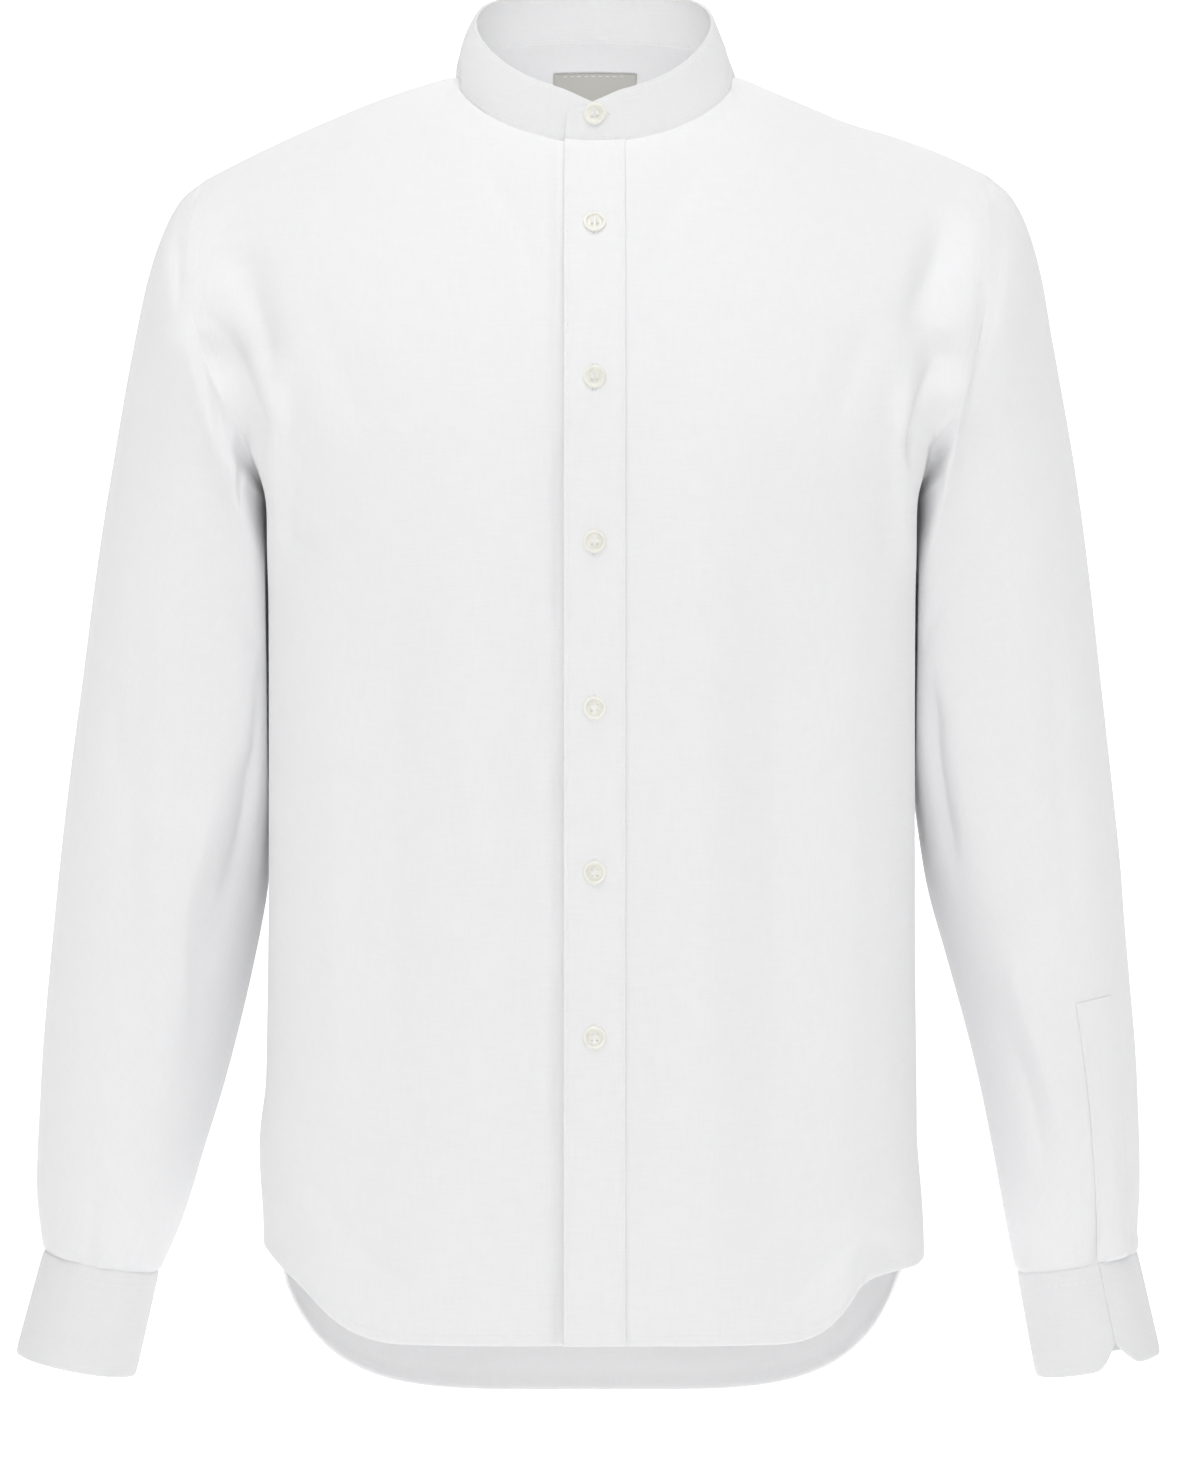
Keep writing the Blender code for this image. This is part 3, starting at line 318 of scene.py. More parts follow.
def neck_point(angle):
    """Neck seam at an angle from straight ahead, positive towards the wearer's left."""
    z = NECK_LEVEL - NECK_SLOPE * math.cos(angle) - NECK_SADDLE * math.cos(2 * angle)
    return Vector((NECK_X + NECK_HALF_WIDTH * math.sin(angle),
                   NECK_Y - NECK_HALF_DEPTH * math.cos(angle), z))


def band_top_point(angle):
    z = BAND_TOP_LEVEL - NECK_SLOPE * math.cos(angle) - BAND_TOP_SADDLE * math.cos(2 * angle)
    return Vector((NECK_X + BAND_TOP_HALF_WIDTH * math.sin(angle),
                   BAND_TOP_Y - NECK_HALF_DEPTH * math.cos(angle), z))


def shoulder_point(side, out):
    x = SHOULDER.at(side, out) * SIGN[side]
    return Vector((x, SHOULDER.at("y", out), SHOULDER.at(side + "_z", out)))


SIGN = {"left": 1, "right": -1}
FRONT_COLUMNS = PLACKET_STEPS + NECK_STEPS + SHOULDER_STEPS
BACK_COLUMNS = 2 * SHOULDER_STEPS + BACK_NECK_STEPS
ROWS = BODY_ROWS + CHEST_ROWS
EASED_ROWS = range(BODY_ROWS, ROWS)
EASED_SLEEVE_ROWS = range(6, 0, -1)
EASED_SLEEVE_COLUMNS = range(-6, 7)     # the lower half of the armhole
EASING = 12                # rounds of evening out, from below the underarm up
SLEEVE_EASING = 3


def edge_lines(side):
    """Columns beside the front's middle, which run straight up and down."""
    if side == "left":
        first, last = PLACKET_EDGES
        return [lerp(first, last, i / PLACKET_STEPS) for i in range(PLACKET_STEPS + 1)]
    first, last = UNDERLAP_EDGES
    lines = [lerp(first, UNDERLAP_TURN, i / (PLACKET_STEPS - 1)) for i in range(PLACKET_STEPS)]
    return lines + [last]


def neck_angle(side, column):
    """Angle on the neck seam where a front's column ends."""
    lines = edge_lines(side)
    if column <= PLACKET_STEPS:
        return math.asin((lines[column] - NECK_X) / NECK_HALF_WIDTH)
    start = math.asin((lines[-1] - NECK_X) / NECK_HALF_WIDTH)
    return lerp(start, NECK_SIDE_ANGLE * SIGN[side], (column - PLACKET_STEPS) / NECK_STEPS)


def front_top(side, column):
    corner = PLACKET_STEPS + NECK_STEPS
    seam_start = shoulder_point(side, 0)
    if column >= corner:
        return shoulder_point(side, (column - corner) / SHOULDER_STEPS)
    point = neck_point(neck_angle(side, column))
    meet = seam_start - neck_point(NECK_SIDE_ANGLE * SIGN[side])
    return point + meet * ease((column - PLACKET_STEPS) / NECK_STEPS)


def row_of(side, up, face):
    """A row's point at the side, how far round it runs, and its middle's depth and level."""
    edge = side_edge(side, up, face)
    if up >= 0:
        turn = math.radians(ARMHOLE.at(face + "_turn", up))
        return edge, turn, MIDDLE.at(face + "_y", up), MIDDLE.at(face + "_z", up)
    turn = SIDE_SEAM_ANGLE if face == "front" else math.pi - SIDE_SEAM_ANGLE
    return edge, turn, BODY.at(face, edge.z), edge.z


def front_row_point(side, column, up):
    """A front's point before its top edge is drawn to the neckline and the shoulder seam."""
    edge, turn, middle_y, middle_z = row_of(side, up, "front")
    full = across(turn, FRONT_SQUARE)
    lines = edge_lines(side)
    line = lines[min(column, PLACKET_STEPS)]
    start = angle_across(line * SIGN[side] * full / edge.x, FRONT_SQUARE)
    share = max(column - PLACKET_STEPS, 0) / (FRONT_COLUMNS - PLACKET_STEPS)
    angle = lerp(start, turn, share)
    x = edge.x * across(angle, FRONT_SQUARE) / full
    ratio = back_ratio(edge.z)
    y = lerp(middle_y, edge.y, round_front(angle, ratio) / round_front(turn, ratio))
    z = lerp(middle_z, edge.z, (abs(x) / edge.x) ** ROW_ARCH)
    if up < 0:
        z += up * front_tail(angle)
    return Vector((x * SIGN[side], y, z))


def height_share(row):
    """A row's place: -1 at the hem, 0 at the underarm, 1 at the top edge."""
    return row / BODY_ROWS - 1 if row <= BODY_ROWS else (row - BODY_ROWS) / CHEST_ROWS


def front_point(side, column, row):
    up = height_share(row)
    point = front_row_point(side, column, up)
    if up > 0:
        point += (front_top(side, column) - front_row_point(side, column, 1)) * up ** TOP_POWER
    if side == "right":
        point.y += UNDERLAP_DEPTH * ease((point.x - UNDERLAP_EDGES[1])
                                         / (UNDERLAP_TURN - UNDERLAP_EDGES[1]))
    return point


def back_top(column):
    """Shoulder seam, back neckline, other shoulder seam, from the wearer's right."""
    if column <= SHOULDER_STEPS:
        return shoulder_point("right", 1 - column / SHOULDER_STEPS)
    if column >= BACK_COLUMNS - SHOULDER_STEPS:
        return shoulder_point("left", 1 - (BACK_COLUMNS - column) / SHOULDER_STEPS)
    angle = back_neck_angle(column)
    point = neck_point(angle)
    for side in SIGN:
        near = 1 - abs(angle - NECK_SIDE_ANGLE * SIGN[side] % (2 * math.pi)) / NECK_MEET
        meet = shoulder_point(side, 0) - neck_point(NECK_SIDE_ANGLE * SIGN[side])
        point += meet * ease(near)
    return point


def back_neck_angle(column):
    """Angle on the neck seam, from the wearer's right shoulder round the back to the left."""
    share = (column - SHOULDER_STEPS) / BACK_NECK_STEPS
    return lerp(2 * math.pi - NECK_SIDE_ANGLE, NECK_SIDE_ANGLE, share)


def back_row_point(column, up):
    share = 2 * column / BACK_COLUMNS - 1
    side = "left" if share > 0 else "right"
    edge, turn, middle_y, middle_z = row_of(side, up, "back")
    angle = turn * share
    x = edge.x * across(angle, BACK_SQUARE) / across(turn, BACK_SQUARE)
    y = lerp(middle_y, edge.y, round_back(angle) / round_back(turn))
    z = lerp(middle_z, edge.z, (abs(x) / edge.x) ** ROW_ARCH)
    if up < 0:
        z += up * back_tail(angle)
    return Vector((x, y, z))


def back_point(column, row):
    up = height_share(row)
    point = back_row_point(column, up)
    if up > 0:
        point += (back_top(column) - back_row_point(column, 1)) * up ** TOP_POWER
    return point


def oval_point(table, side, row, turn, grow=0.0):
    """A sleeve's or cuff's point; turn 0 is the inner side, then front, outer side and back."""
    out = Vector((table.at(side + "_out", row), 0, table.at("out_z", row)))
    inner = Vector((table.at(side + "_in", row), 0, table.at("in_z", row)))
    middle = (out + inner) / 2
    half = (inner - out) / 2
    half = half.normalized() * (half.length + grow)
    depth = table.at("half_depth", row) + grow
    point = middle + half * math.cos(turn)
    point.y = table.at("middle_y", row) - depth * math.sin(turn)
    point.x *= SIGN[side]
    return point


# ---- skin ------------------------------------------------------------------------------------
# Pieces that lie in one smooth sheet across their seams.
GROUPS = {"left_front": "body", "right_front": "body", "back": "body", "yoke": "body"}


def relax(grid, columns, rows, rounds):
    """Even out the points inside a grid, less in its first rows; a tube wraps round."""
    for _ in range(rounds):
        moved = {}
        for i in columns:
            before, after = grid[i - 1], grid[(i + 1) % len(grid)]
            for n, j in enumerate(rows):
                around = before[j] + after[j] + grid[i][j - 1] + grid[i][j + 1]
                moved[i, j] = grid[i][j].lerp(around / 4, min(0.5, 0.1 * (n + 1)))
        for (i, j), point in moved.items():
            grid[i][j] = point


class Skin:
    """Shared points of the whole garment, and the cells that each piece owns."""

    def __init__(self):
        self.points = []
        self.known = {}
        self.cells = []
        self.level = {}

    def add(self, point):
        key = tuple(round(value, 5) for value in point)
        if key not in self.known:
            self.known[key] = len(self.points)
            self.points.append(point)
        return self.known[key]

    def add_cells(self, grid, pieces, turned, wrap=False):
        """Give a grid's cells to the piece of their row; a wrapped grid's last row meets its first."""
        rows = len(grid[0])
        for before, after in zip(grid, grid[1:]):
            for j in range(rows if wrap else rows - 1):
                k = (j + 1) % rows
                corners = before[j], after[j], after[k], before[k]
                self.cells.append((pieces[j], corners[::-1] if turned else corners))

    def normals(self):
        """At each point, the way out that leans as far from each group, and its stretch.

        Where two groups meet at a crease, the wall is thicker along the way out than across.
        """
        sums = [{} for _ in self.points]
        for piece, corners in self.cells:
            a, b, c, d = (self.points[i] for i in corners)
            normal = (c - a).cross(d - b)
            group = GROUPS.get(piece, piece)
            for i in corners:
                sums[i][group] = sums[i].get(group, Vector()) + normal
        found = []
        for i, groups in enumerate(sums):
            ways = [total.normalized() for total in groups.values()]
            normal = sum(ways, Vector()).normalized()
            axis = self.level.get(i)
            if axis:
                normal = (normal - axis * normal.dot(axis)).normalized()
            lean = sum(normal.dot(way) for way in ways) / len(ways)
            found.append((normal, 1 / max(lean, 0.5)))
        return found


def build_skin():
    """All panels' grids of point numbers, sharing the points of their seams."""
    skin = Skin()
    grids = {}
    for side in SIGN:
        shape = [[front_point(side, i, j) for j in range(ROWS + 1)]
                 for i in range(FRONT_COLUMNS + 1)]
        relax(shape, range(PLACKET_STEPS + 1, FRONT_COLUMNS), EASED_ROWS, EASING)
        grid = [[skin.add(point) for point in column] for column in shape]
        grids[side + "_front"] = grid
        skin.add_cells(grid, [side + "_front"] * ROWS, side == "right")
    shape = [[back_point(i, j) for j in range(ROWS + 1)] for i in range(BACK_COLUMNS + 1)]
    relax(shape, range(1, BACK_COLUMNS), EASED_ROWS, EASING)
    grids["back"] = [[skin.add(point) for point in column] for column in shape]
    below = BODY_ROWS + YOKE_SEAM_ROW
    skin.add_cells(grids["back"], ["back"] * below + ["yoke"] * (ROWS - below), True)
    for side in SIGN:
        grids["sleeve_" + side] = add_sleeve(skin, grids, side)
    grids["collar"] = add_collar(skin, grids)
    return skin, grids


def add_sleeve(skin, grids, side):
    """A tube from the armhole's points to the cuff; the armhole's own shape fades down it."""
    front_edge = grids[side + "_front"][-1][BODY_ROWS:]
    back_edge = grids["back"][-1 if side == "left" else 0][BODY_ROWS:]
    armhole = front_edge + back_edge[-2:0:-1]
    around = len(armhole)
    last = SLEEVE.keys[-1]
    shape = []
    for a, own in enumerate(armhole):
        turn = 2 * math.pi * a / around
        offset = skin.points[own] - oval_point(SLEEVE, side, 0, turn)
        column = [skin.points[own]]
        for k in range(1, SLEEVE_ROWS + 1):
            row = last * (k / SLEEVE_ROWS) ** SLEEVE_ROW_POWER
            keep = (1 - ease(row / ARMHOLE_FADE)) ** 1.5
            column.append(oval_point(SLEEVE, side, row, turn) + offset * keep)
        shape.append(column)
    relax(shape, EASED_SLEEVE_COLUMNS, EASED_SLEEVE_ROWS, SLEEVE_EASING)
    rings = [armhole] + [[skin.add(column[k]) for column in shape]
                         for k in range(1, SLEEVE_ROWS + 1)]
    axis = oval_axis(SLEEVE, side, last)
    for i in rings[-1]:
        skin.level[i] = axis
    skin.add_cells(rings, ["sleeve_" + side] * around, side == "right", True)
    return rings


def oval_axis(table, side, row):
    """Direction that the oval's plane faces, down the arm."""
    across_line = oval_point(table, side, row, math.pi) - oval_point(table, side, row, 0)
    axis = across_line.cross(Vector((0, 1, 0))).normalized()
    return axis if axis.z < 0 else -axis


def add_collar(skin, grids):
    """The band, from its upper end round the neck to its lower end."""
    corner = PLACKET_STEPS + NECK_STEPS
    left, right = ([(grids[side + "_front"][i][-1], neck_angle(side, i)) for i in range(corner + 1)]
                   for side in SIGN)
    back = [(grids["back"][i][-1], back_neck_angle(i))
            for i in range(BACK_COLUMNS - SHOULDER_STEPS - 1, SHOULDER_STEPS, -1)]
    seam = left + back + right[::-1]
    columns = []
    for own, angle in seam:
        base = skin.points[own]
        top = band_top_point(angle)
        if abs(base.x) < BAND_LAP_HALF and base.y < NECK_Y:
            top.y += base.y - neck_point(angle).y
        run = BAND_END_RUN
        if base.y < NECK_Y:
            on_left = (own, angle) in left
            run = base.x - PLACKET_EDGES[0] if on_left else UNDERLAP_EDGES[0] - base.x
        drop = BAND_END_DROP * max(0.0, 1 - run / BAND_END_RUN) ** 1.5
        top = base.lerp(top, 1 - drop / BAND_HEIGHT)
        swell = Vector((min(math.sin(angle), 0.0) * BAND_BULGE, 0, 0))
        column = [own]
        for k in range(1, BAND_ROWS + 1):
            share = k / BAND_ROWS
            column.append(skin.add(base.lerp(top, share) + swell * math.sin(share * math.pi * 0.8)))
        columns.append(column)
    skin.add_cells(columns, ["collar"] * BAND_ROWS, False)
    return columns


# ---- fine cloth ------------------------------------------------------------------------------
# Fine steps in each coarse cell; the last column beside a side seam and an armhole is finest.
FRONT_FINE = [3] * PLACKET_STEPS + [5] * (NECK_STEPS + SHOULDER_STEPS - 1) + [14]
BACK_FINE = [14] + [5] * (BACK_COLUMNS - 2) + [14]
ROW_FINE = [12] + [7] * (BODY_ROWS - 1) + [6] * CHEST_ROWS
AROUND_FINE = [6] * (2 * CHEST_ROWS)
ALONG_FINE = [10] + [5] * (SLEEVE_ROWS - 2) + [12]
TUCK_RINGS = 2             # rings of the sleeve's end that go on under the cuff's rounded edge
TUCK_STEP = 0.0004
TUCK_DEPTH = 0.0014        # how far the sleeve draws in there
BAND_FINE = FRONT_FINE[:PLACKET_STEPS + NECK_STEPS]
STRIP_LINE = sum(FRONT_FINE[:PLACKET_STEPS])
UNDERARM_LINE = sum(ROW_FINE[:BODY_ROWS])
YOKE_LINE = sum(ROW_FINE[:BODY_ROWS + YOKE_SEAM_ROW])
NECK_LINE = sum(BAND_FINE)
SHOULDER_LINE = sum(BACK_FINE[:SHOULDER_STEPS])
MATCHED = 10               # lines beside a seam that follow it when two pieces are matched

# The main creases, given one by one: height, half width and points (x, z) in millimetres. A lean is
# how much steeper the side on the left of the line is, looking along it on the face from outside.
FRONT_CREASES = (
    # height, half width, lean, points
    (-1.6, 7, 0.3, (-189.9, -99.8), (-182.8, -124.5), (-176.2, -154.7), (-171.8, -184.9)),
    (0.7, 5, 0, (-195.4, -127.3), (-186.1, -154.7), (-178.4, -184.9)),
    (-2, 8, -0.3, (197.2, -75.1), (190, -97.1), (177.9, -121.8), (172.5, -135.5)),
    (-1.9, 12, 0.3, (-160, -115), (-132.1, -166.9), (-121, -212)),
    (-1.9, 12, -0.3, (160, -115), (139.4, -166.9), (129, -206)),
    (-1.7, 9, 0.2, (-64, -32), (-38, -86.3), (-22.5, -136)),
    (-1.5, 9, -0.2, (64, -32), (42.6, -80.9), (30, -128)),
    (5.6, 24, 0.2, (-56, -90), (-60, -260), (-59, -460), (-62, -730)),
    (-2.4, 10, 0, (-29, -150), (-27.5, -330), (-31, -500), (-27, -670)),
    (-3.2, 20, 0.2, (-100, -200), (-106, -370), (-104, -640)),
    (5.2, 22, -0.2, (56, -110), (60, -300), (59, -480), (64, -730)),
    (-2, 9, 0, (33, -230), (34.5, -400), (32, -560), (35, -700)),
    (-3.2, 18, -0.2, (95, -210), (99, -390), (97, -650)),
    (1.5, 10, 0, (-139, -250), (-140, -440), (-136, -630)),
    (1.5, 10, 0, (139, -250), (140, -430), (137, -630)),
    (-2.2, 8, 0.3, (-170, -585), (-129.4, -629.3), (-85, -662)),
    (-2, 8, -0.3, (174, -585), (139.4, -634.6), (95, -668)),
    (-2, 6, 0, (-170, -244), (-156, -256), (-140, -264)),
    (-1.7, 6, 0, (172, -248), (158, -262), (144, -272)),
    (4.1, 9, 0, (128, -676), (145, -670), (160, -656)),
    # sleeves
    (-1.7, 6, 0.3, (-229, -70), (-227.4, -110), (-227.4, -143.1), (-223, -168)),
    (1.8, 6, 0, (-225.6, -138.3), (-214.6, -157.5), (-202.5, -176.7)),
    (-3.6, 6.5, 0.3, (-222.8, -127.3), (-206.3, -131.1), (-193.7, -154.7),
        (-184.4, -176.7), (-178.9, -195.9), (-180, -215.1)),
    (-1.3, 9, -0.3, (215, -78), (214.8, -116.1), (212.6, -138.7), (205.5, -188)),
    (0.7, 6, 0, (198.2, -110.8), (194.5, -128), (190.6, -143.7)),
    (-4, 4.5, -0.3, (192.8, -146.5), (186.2, -162.9), (180.7, -184.9),
        (176.3, -212.4), (177.4, -228.8)),
    (-3, 13, 0.3, (-196, -290), (-198.5, -360), (-201, -420), (-214, -500)),
    (-2.7, 9, 0, (-263.2, -325), (-264, -358), (-260, -390)),
    (2.7, 8, 0, (-226.3, -356), (-224.6, -448.7), (-225.7, -547)),
    (-3, 13, -0.3, (204, -290), (206, -350), (206, -420), (210, -470)),
    (2.7, 9, 0, (226, -472), (247.3, -528.6), (264, -582)),
    (-2.4, 7, 0.2, (230, -520), (244, -560), (252, -610)),
    (-2, 12, 0, (-248.3, -250), (-252.7, -371.6), (-261, -500)),
    (-2, 12, 0, (252.8, -250), (259.4, -371.6), (270, -500)),
    (-2, 5, 0, (-220, -260), (-205, -285), (-190, -298)),
    (-1.9, 5, 0, (218, -256), (204, -280), (190, -296)),
)

BACK_CREASES = (
    (-3.1, 9, 0.2, (-185, -90), (-165, -150), (-156, -210)),
    (-3.1, 9, -0.2, (186, -86), (168, -145), (156, -216)),
    (-2, 12, 0.2, (-140, -120), (-108, -190), (-96, -260)),
    (-1.9, 12, -0.2, (143, -116), (115, -186), (102, -244)),
    (-2.2, 14, 0, (-42, -220), (-38, -430), (-41, -700)),
    (1.9, 15, 0, (-112, -260), (-115, -450), (-112, -670)),
    (-2.2, 14, 0, (43, -260), (46, -480), (40, -710)),
    (2, 15, 0, (118, -240), (120, -440), (116, -660)),
    (-2, 9, 0.3, (-172, -580), (-134, -650), (-90, -700)),
    (-2, 9, -0.3, (174, -570), (138, -640), (98, -696)),
    (-2.7, 8, 0, (-230, -110), (-208, -176), (-190, -230)),
    (-2.5, 8, 0, (230, -104), (210, -170), (192, -228)),
    (-3.1, 9, 0.2, (-210, -330), (-230, -380), (-256, -410)),
    (-2.9, 9, -0.2, (208, -340), (232, -390), (260, -426)),
    (2.4, 9, 0, (-225, -430), (-245, -500), (-262, -590)),
    (2.4, 9, 0, (230, -440), (248, -510), (266, -590)),
    (-2.2, 9, 0, (-256, -220), (-264, -330), (-266, -440)),
    (-2.2, 9, 0, (256, -230), (266, -340), (274, -460)),
)

# Pleats and gathers above each cuff: degrees round the sleeve from the inner side, then how far up
# the sleeve they run, height and half width in millimetres.
GATHERS = {
    "left": (
        (104, 60, -2.6, 5), (124, 85, 1.8, 4.5), (147, 45, -1.4, 4), (168, 60, -1.5, 4.5),
        (196, 36, 1.2, 5), (38, 40, -1.2, 5), (252, 50, -1.3, 5), (300, 38, 1.1, 5)),
    "right": (
        (62, 60, -1.6, 4.5), (80, 50, 1.3, 4.5), (101, 70, -1.7, 4.5), (128, 42, 1.4, 4.5),
        (158, 55, -1.4, 4.5), (246, 46, -1.3, 5), (282, 40, 1.2, 5), (322, 50, -1.2, 5)),
}

# Where a front's hem has flipped up: its place across, its half widths towards the strip and
# towards the side seam, how far it rises, and how far up the front that is felt.
HEM_FLIPS = {
    "left": (0.150, 0.021, 0.025, 0.0214, 0.072),
    "right": (-0.162, 0.030, 0.092, 0.0125, 0.103),
}

ARMPIT_FILL = 0.015        # how far the fronts stand forward beside the armpits
ARMPIT_FROM = (0.160, 0.018)            # from this far out, fully so this much further
ARMPIT_FACE = (-0.002, 0.020)           # on what lies in front of this, fully so this much further
ARMPIT_TOP, ARMPIT_FOOT, ARMPIT_FADE = -0.150, -0.285, 0.045
PRESSED_ROWS = (0.0, 9.6)  # sleeve rows between which the sleeve is pressed against the body
PRESSED_FADES = (0.8, 3.0)              # rows over which that begins and ends
SLEEVE_SQUARE = 5.0        # how much that raises the superellipse power of its section there
SLEEVE_CLEAR = 0.0005      # left between sleeve and body
BODY_ROUND = 0.42          # power that gives the body's half width from its depth there
STRIP_SHADE = (0.0011, 0.0030)          # depth and width of the under front's dip beside the strip
LAP_STEP = (6, 86, 40)     # degrees past the cuff's upper end: it begins, ends, and fades over these
LAP_LENGTH = 0.016         # of the sleeve that stands out with the cuff's lap
TUCK_LENGTH = 0.0025       # of the sleeve that draws in under the cuff


def spread(steps):
    """Places of the fine lines, counted in coarse cells."""
    return np.concatenate([[0.0]] + [n + np.arange(1, s + 1) / s for n, s in enumerate(steps)])


def smooth_through(values, places, wrap=False):
    """A smooth curve through each line of values, read at places counted in values."""
    if wrap:
        padded = np.concatenate([values[-1:], values, values[:2]])
    else:
        padded = np.concatenate([[2 * values[0] - values[1]], values,
                                 [2 * values[-1] - values[-2]]])
    cell = np.minimum(places.astype(int), len(padded) - 4)
    t = (places - cell).reshape((-1,) + (1,) * (values.ndim - 1))
    a, b, c, d = (padded[cell + k] for k in range(4))
    return b + 0.5 * t * (c - a + t * (2 * a - 5 * b + 4 * c - d + t * (3 * b - 3 * c + d - a)))


def unit(ways):
    return ways / np.maximum(np.linalg.norm(ways, axis=-1, keepdims=True), 1e-12)


def from_line(points, line):
    """Where points lie from a line: their distance, share of its length, offset and its way."""
    lengths = np.linalg.norm(np.diff(line, axis=0), axis=1)
    runs = np.concatenate([[0.0], np.cumsum(lengths)])
    distance = np.full(points.shape[:-1], 1e9)
    along = np.zeros_like(distance)
    offset, way = np.zeros_like(points), np.zeros_like(points)
    for start, end, length, run in zip(line, line[1:], lengths, runs):
        span = (end - start) / length
        t = np.clip((points - start) @ span, 0, length)
        away = points - start - t[..., None] * span
        far = np.linalg.norm(away, axis=-1)
        nearer = far < distance
        distance[nearer], along[nearer] = far[nearer], (run + t[nearer]) / runs[-1]
        offset[nearer], way[nearer] = away[nearer], span
    return distance, along, offset, way


def fold(points, line, half_width):
    """Share of a large fold's height, as the solids have it."""
    distance, along, _, _ = from_line(points, line)
    taper = np.minimum(1, np.minimum(5 * along, 5 * (1 - along)) + 0.15)
    return taper * np.exp(-(distance / half_width) ** 2)


def crease(points, ways, line, half_width, lean):
    """Share of a crease's height at each point, with soft ends and a narrow crest."""
    line = smooth_through(line, spread([6] * (len(line) - 1)))
    distance, along, offset, way = from_line(points, line)
    beside = np.sum(np.cross(way, ways) * offset, axis=-1)
    width = half_width * (1 - 0.45 * lean * np.tanh(beside / half_width))
    # a broad slope with a crest of 1/2.6 its width, running out over a third of the line at each end
    share = 0.7 * np.exp(-(distance / width) ** 2) + 0.3 * np.exp(-(2.6 * distance / width) ** 2)
    return share * ease(np.minimum(along, 1 - along) / 0.35)


def relief(points, ways):
    """Height of the large folds and of the creases at each point."""
    level = points * (1, 0, 1)
    total = np.zeros(points.shape[:-1])
    for way, folds, creases in ((-2, FRONT_FOLDS, FRONT_CREASES), (2, BACK_FOLDS, BACK_CREASES)):
        facing = ways[..., 1] * way
        for height, half_width, *line in folds:
            share = fold(level, laid_out(line), half_width / 1000)
            total += height / 1000 * np.clip(facing, 0, 1) * share
        for height, half_width, lean, *line in creases:
            share = crease(level, ways, laid_out(line), half_width / 1000, lean)
            total += height / 1000 * ease(facing) * share
    return total


def laid_out(line):
    """A table's points (x, z) in millimetres, as points in metres."""
    return np.array([(x / 1000, 0.0, z / 1000) for x, z in line])


def edge_of(shape, edge):
    """The lines of a grid, counted from one of its edges: first, last, low or high."""
    lines = shape.swapaxes(0, 1) if edge in ("low", "high") else shape
    return lines[::-1] if edge in ("last", "high") else lines


def meet(shape, edge, target, span=slice(None)):
    """Draw part of an edge onto a neighbour's, and the lines beside it less and less."""
    lines = edge_of(shape, edge)
    gap = np.zeros_like(lines[0])
    gap[span] = target - lines[0][span]
    for n in range(MATCHED):
        lines[n] += gap * ease(1 - n / MATCHED)
    shape[..., 3:6] = unit(shape[..., 3:6])


def run_length(points, axis):
    """Length along the lines of one axis, from their start."""
    lines = points.swapaxes(0, axis)
    steps = np.linalg.norm(np.diff(lines, axis=0), axis=-1)
    runs = np.concatenate([np.zeros((1,) + steps.shape[1:]), np.cumsum(steps, axis=0)])
    return runs.swapaxes(0, axis)


@lru_cache(maxsize=1)
def pattern():
    """Each panel's fine grid: point, way out, stretch of its wall, and its place laid flat."""
    skin, grids = build_skin()
    normals = skin.normals()

    def fine(grid, across_steps, along_steps, wrap=False):
        coarse = np.array([[(*skin.points[i], *normals[i][0], normals[i][1]) for i in line]
                           for line in grid])
        places = spread(across_steps)
        shape = smooth_through(coarse, places[:-1] if wrap else places, wrap)
        shape = smooth_through(shape.swapaxes(0, 1), spread(along_steps)).swapaxes(0, 1)
        shape[..., 3:6] = unit(shape[..., 3:6])
        shape[..., :3] += shape[..., 3:6] * relief(shape[..., :3], shape[..., 3:6])[..., None]
        return shape

    panels = {}
    for side in SIGN:
        front = squared(fine(grids[side + "_front"], FRONT_FINE, ROW_FINE))
        panels[side + "_front"] = turned_up(front if side == "left" else pressed(front), side)
    body = fine(grids["back"], BACK_FINE, ROW_FINE)
    join_back(body, panels)
    for side in SIGN:
        sleeve = fine(np.array(grids["sleeve_" + side]).T, AROUND_FINE, ALONG_FINE, True)
        back_edge = body[0 if side == "right" else -1, UNDERARM_LINE:]
        meet(sleeve, "low", np.concatenate([panels[side + "_front"][-1, UNDERARM_LINE:],
                                            back_edge[-2:0:-1]]))
        sleeve = filled(sleeve, side)
        sleeve[..., :3] += sleeve[..., 3:6] * gathers(sleeve, side)[..., None]
        panels["sleeve_" + side] = tucked(sleeve, side)
    collar = fine(grids["collar"], BAND_FINE + [5] * BACK_NECK_STEPS + BAND_FINE[::-1],
                  [7] * BAND_ROWS)
    meet(collar, "low", np.concatenate([panels["left_front"][:NECK_LINE + 1, -1],
                                        body[SHOULDER_LINE + 1:-SHOULDER_LINE - 1, -1][::-1],
                                        panels["right_front"][:NECK_LINE + 1, -1][::-1]]))
    panels.update(collar=collar, body=body)
    for name, shape in panels.items():
        flat = [run_length(shape[..., :3], axis)[..., None] for axis in (0, 1)]
        panels[name] = np.concatenate([shape, *flat], axis=-1)
    body = panels.pop("body")
    panels["back"], panels["yoke"] = body[:, :YOKE_LINE + 1], body[:, YOKE_LINE:]
    return panels


def join_back(body, panels):
    """Draw the back and yoke, still one sheet, onto the fronts' side and shoulder seams."""
    below = slice(0, UNDERARM_LINE + 1)
    for side, edge, span in (("right", "first", slice(0, SHOULDER_LINE + 1)),
                             ("left", "last", slice(-SHOULDER_LINE - 1, None))):
        front = panels[side + "_front"]
        meet(body, edge, front[-1, below], below)
        top = front[NECK_LINE:, -1]
        meet(body, "high", top[::-1] if side == "right" else top, span)


